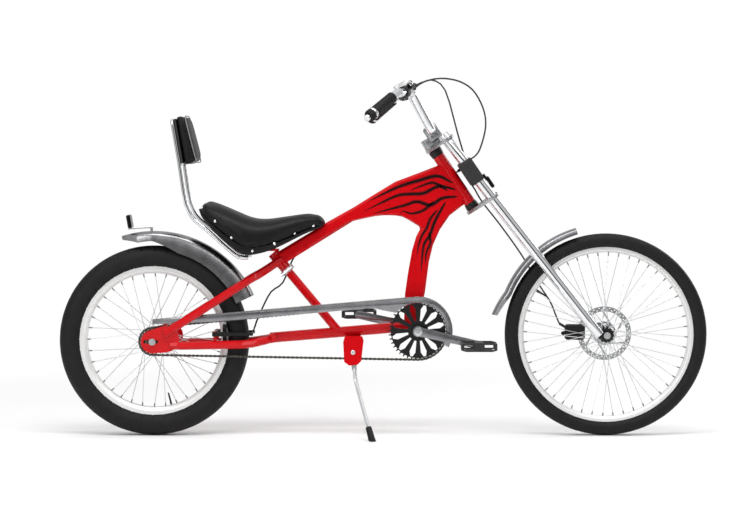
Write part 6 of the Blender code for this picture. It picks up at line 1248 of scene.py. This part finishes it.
for side, hand in ((-1, "right"), (1, "left")):
    way = unit(np.array((-0.0826, 0.1030 * side, -0.0703)))
    start = BAR_MIDDLE + (-0.1078, 0.222 * side, 0.1010) + 0.012 * way
    for end, profile, sides, material, slot, replaced, sharp in (
        ("sleeve", SLEEVE, 36, rubber, "black_rubber", [f"grip_{hand}"], 60.0),
        ("collar", COLLAR, 36, chrome, "chrome", (), 40.0),
        ("cap", CAP, 36, rubber, "black_rubber", (), 40.0),
        ("plug", PLUG, 24, chrome, "chrome", (), 40.0),
    ):
        shells = domes(start[None], way[None], profile, sides)
        piece(f"grip_{hand}_{end}", shells, material, "steering", replaced, sharp)


# Brake cables: steel inner wire in black plastic-coated housing, 5 mm across, in smooth bends.
# One run crosses from the steering to the frame.
def sleeved_housing(tree, place):
    """Extruded plastic: plain black with a soft sheen, dulled by dust in patches."""
    dust = node(tree, "ShaderNodeTexNoise", {"Vector": place, "Scale": 1 / 0.01, "Detail": 3.0})
    rough = node(tree, "ShaderNodeMapRange", {"Value": dust.outputs[0], "To Min": 0.32, "To Max": 0.5})
    return {"Base Color": linear("1A1A1B"), "Roughness": rough.outputs[0]}


housing = surface("black_plastic_cable_sleeve", sleeved_housing)
dress(
    housing,
    "rear_brake_cable",
    "front_brake_cable_upper",
    "front_brake_cable_lower",
    "rear_brake_cable_upper",
)
# The run from its end on the steering to its end on the frame.
HOUSING_RADIUS = 0.0024
CROSSING = (
    (0.2213, 0.0340, 0.7785), (0.2114, 0.0340, 0.7718), (0.1950, 0.0400, 0.7700), (0.1772, 0.0417, 0.7655),
    (0.1620, 0.0320, 0.7540), (0.1525, 0.0213, 0.7441), (0.1413, 0.0213, 0.7406),
)
run = swept(curve_through(CROSSING, 10), circle(HOUSING_RADIUS, 14), (0.0, 0.0, 1.0))
crossing = piece("cable_crossing", [run], housing, None, ["rear_brake_cable_crossover"], 60.0)
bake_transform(crossing)


# Crowns and stem clamp: aluminium castings, milled flat and polished, bored for the steerer and legs.
# Pinch bolts close them; the polish is duller than the plating of the tubes.
for name in ("crown_upper", "crown_lower_and_steerer", "stem_clamp"):
    eased(name, 0.0016, alloy_casting, "steering")


# Small fittings: nuts, clamps, brackets, levers and the stand's leg, in zinc-plated steel.
# They are turned, pressed or bent, and screwed or bolted on.
dress(
    zinc,
    "seat_clamp",
    "rear_axle_and_nuts",
    "front_axle_and_nuts",
    "rear_reflector_bracket",
    "crank_axle",
    "brake_lever_left",
    "brake_lever_right",
    "kickstand_leg",
)


# Dust caps and the stand's pin: pressed and turned steel, zinc-plated.
# Each cap closes a crank arm's boss over its axle, and the pin's head holds the stand's leg.
BRACKET = np.array((0.103665, 0.0, 0.311))
BOSS_FACE, STAND_PIN = 0.0833, np.array((-0.0873, -0.0668, 0.2487))
DUST_CAP = (
    (0.0122, 0.0), (0.0126, 0.0008), (0.0120, 0.0018), (0.0090, 0.0024),
    (0.0034, 0.0024), (0.0026, 0.0014), (0.0010, 0.0012),
)
for side, hand in ((-1, "right"), (1, "left")):
    cap = domes((BRACKET + (0, BOSS_FACE * side, 0))[None], np.array([[0.0, side, 0.0]]), DUST_CAP, 36)
    piece(f"crank_dust_cap_{hand}", cap, zinc, "crank", sharp=35.0)
PIN_HEAD = ((0.0066, 0.0), (0.0066, 0.0014), (0.0056, 0.0022), (0.0020, 0.0026))
pin_head = domes(STAND_PIN[None], np.array([[0.0, -1.0, 0.0]]), PIN_HEAD, 24)
piece("kickstand_pin_head", pin_head, zinc, "kickstand", sharp=35.0)


# Black fittings: steel and cast aluminium under satin black stoving paint.
# The cups are pressed into the head, the cartridge is screwed in, and the rest is bolted on.
dress(
    stoving,
    "headset_cup_upper",
    "headset_cup_lower",
    "bottom_bracket_cartridge",
    "chainring",
    "caliper_body",
    "caliper_arm",
    "rear_brake_arm_right",
    "rear_brake_arm_left",
)


# Moulded parts: the pad's back plate, the lever perches, the cable guide and the pedals.
# They are nylon and ABS, moulded with a fine spark-eroded texture and screwed on.
def moulded_black(tree, place):
    """Nylon and ABS from a spark-eroded mould: an even dark grey with a fine matt texture."""
    grain = node(tree, "ShaderNodeTexNoise", {"Vector": place, "Scale": 1 / 0.0009, "Detail": 2.0})
    bumps = node(tree, "ShaderNodeBump", {"Height": grain.outputs[0], "Distance": 0.00006, "Strength": 0.6})
    return {"Base Color": linear("1C1C1D"), "Roughness": 0.5, "Normal": bumps.outputs[0]}


moulded = surface("textured_black_nylon", moulded_black)
dress(
    moulded,
    "backrest_plate",
    "lever_perch_left",
    "lever_perch_right",
    "cable_guide_block",
    "pedal_right",
    "pedal_left",
)


# Reflectors: acrylic lenses over rows of small prisms, in black ABS cases, red behind and clear in front.
# Only the face that looks along the case's own way out is lens.
def prism_lens(code, way):
    """Moulded acrylic: a strong colour that glints in cells, on the face that looks the given way.

    The real prisms are finer than the picture shows, so the cells are drawn 3 mm wide.
    """

    def sockets(tree, place):
        facing = {0: place.node.outputs["Normal"], 1: way}
        along = node(tree, "ShaderNodeVectorMath", facing, operation="DOT_PRODUCT").outputs["Value"]
        shown = node(tree, "ShaderNodeMath", {0: along, 1: 0.9}, operation="GREATER_THAN").outputs[0]
        tint = node(tree, "ShaderNodeMix", {0: shown, 6: linear("0E0E0F"), 7: linear(code)}, data_type="RGBA")
        prisms = {"Vector": place, "Scale": 1 / 0.003, "Randomness": 0.0}
        cells = node(tree, "ShaderNodeTexVoronoi", prisms)
        depth = node(tree, "ShaderNodeMath", {0: cells.outputs[0], 1: shown}, operation="MULTIPLY")
        raised = {"Height": depth.outputs[0], "Distance": 0.0008, "Strength": 0.6}
        bumps = node(tree, "ShaderNodeBump", raised)
        return {"Base Color": tint.outputs[2], "Roughness": 0.15, "Normal": bumps.outputs[0]}

    return sockets


dress(surface("red_acrylic_lens", prism_lens("A80A12", (-1.0, 0.0, 0.1))), "rear_reflector")
dress(surface("clear_acrylic_lens", prism_lens("C9CCD0", (0.894, 0.0, 0.447))), "front_reflector")


# Small rubber parts: the valves' stems and the stand's foot.
# They are moulded from the same rubber as the tyres, with the same chalky bloom.
dress(rubber, "front_valve", "rear_valve", "kickstand_foot")


# Chain: 154 links of bare carbon steel, outer and inner by turns, riveted over rollers and dark with oil.
# It lies on the teeth of both wheels, half an inch from pin to pin.
def oiled_steel(tree, place):
    """Bare steel under old oil: a dark, warm grey metal, brighter where the links rub."""
    film = node(tree, "ShaderNodeTexNoise", {"Vector": place, "Scale": 1 / 0.006, "Detail": 3.0})
    browns = ((0.35, "3A3734"), (0.75, "7A756E"))
    tint = node(tree, "ShaderNodeValToRGB", {"Fac": film.outputs[0]}, browns)
    return {"Base Color": tint.outputs[0], "Metallic": 1.0, "Roughness": 0.3}


oiled = surface("oiled_carbon_steel", oiled_steel)
# The two pitch circles have 42 and 20 teeth.
PITCH, LINKS, CHAIN_Y = 0.0127, 154, -0.050
RING_REACH, COG_REACH = 42 * PITCH / TURN, 20 * PITCH / TURN


def on_chain(run):
    """Places in side view at lengths along the chain's path, from the sprocket's top forwards.

    Both straight runs touch the two pitch circles, so they lean from the line of centres by
    the arcsine of the difference of radii over the span. On an arc the angle of the outward
    normal falls by length over radius.
    """
    line = BRACKET[[0, 2]] - REAR_AXLE
    span = np.hypot(*line)
    lean = np.arcsin((RING_REACH - COG_REACH) / span)
    above, below = np.arctan2(line[1], line[0]) + np.array((1, -1)) * (TURN / 4 + lean)
    straight, wrap = span * np.cos(lean), RING_REACH * (TURN / 2 + 2 * lean)
    upper, front = run < straight, (run >= straight) & (run < 2 * straight + wrap)
    lower = front & (run >= straight + wrap)
    turned_front, turned_back = (run - straight) / RING_REACH, (run - 2 * straight - wrap) / COG_REACH
    normal = np.select([upper, lower, front], [above, below, above - turned_front], below - turned_back)
    ahead = np.select([upper, lower], [run, run - straight - wrap], 0.0)[:, None]
    out = np.column_stack([np.cos(normal), np.sin(normal)])
    centre = np.where(front[:, None], BRACKET[[0, 2]], REAR_AXLE)
    radius = np.where(front, RING_REACH, COG_REACH)[:, None]
    return centre + radius * out + ahead * out[:, ::-1] * (1, -1)


# Half a plate's height at its pins and at its waist.
PLATE_END, PLATE_WAIST = 0.0038, 0.0023


def link_plates(starts, ends, low, high):
    """Waisted plates between pairs of pins, from one side's y to the other's.

    A plate's outline is an arc about each pin and a point half way along each edge.
    """
    turn = np.radians(np.linspace(-75, 75, 5))
    tip = np.column_stack([PITCH / 2 + PLATE_END * np.cos(turn), PLATE_END * np.sin(turn)])
    outline = np.vstack([tip, [(0, PLATE_WAIST)], tip[::-1] * (-1, 1), [(0, -PLATE_WAIST)]])
    way = unit(ends - starts)
    up = way[:, ::-1] * (-1, 1)
    middle = ((starts + ends) / 2)[:, None]
    flat = middle + outline[None, :, :1] * way[:, None] + outline[None, :, 1:] * up[:, None]
    sides = [np.insert(flat, 1, CHAIN_Y + y, axis=2) for y in (low, high)]
    count = len(outline)
    first = 2 * count * np.arange(len(flat))[:, None]
    number = np.arange(count)[None]
    after = np.roll(number, -1, axis=1)
    around = np.stack([number, after, after + count, number + count], axis=-1)
    quads = (first[:, :, None] + around).reshape(-1, 4)
    caps = np.vstack([first + number[:, ::-1], first + count + number])
    return np.stack(sides, axis=1).reshape(-1, 3), [quads, caps]


pins = on_chain(np.arange(LINKS) * PITCH)
after_pins = np.roll(pins, -1, axis=0)
middle = np.insert(pins, 1, CHAIN_Y, axis=1)
links = []
for side in (-1, 1):
    # inner and outer plates, by turns: the first of each, and how far its faces stand from the middle
    for first, low, high in ((0, 0.0021, 0.0029), (1, 0.0030, 0.0038)):
        links.append(link_plates(pins[first::2], after_pins[first::2], low * side, high * side))
# rollers and rivets
for half, radius in ((0.0020, 0.0032), (0.0040, 0.0017)):
    links.append(rods(middle - (0, half, 0), middle + (0, half, 0), radius, 8))
piece("chain_links", links, oiled, "frame_body", ["chain"], 40.0)
dress(oiled, "freewheel_sprocket")
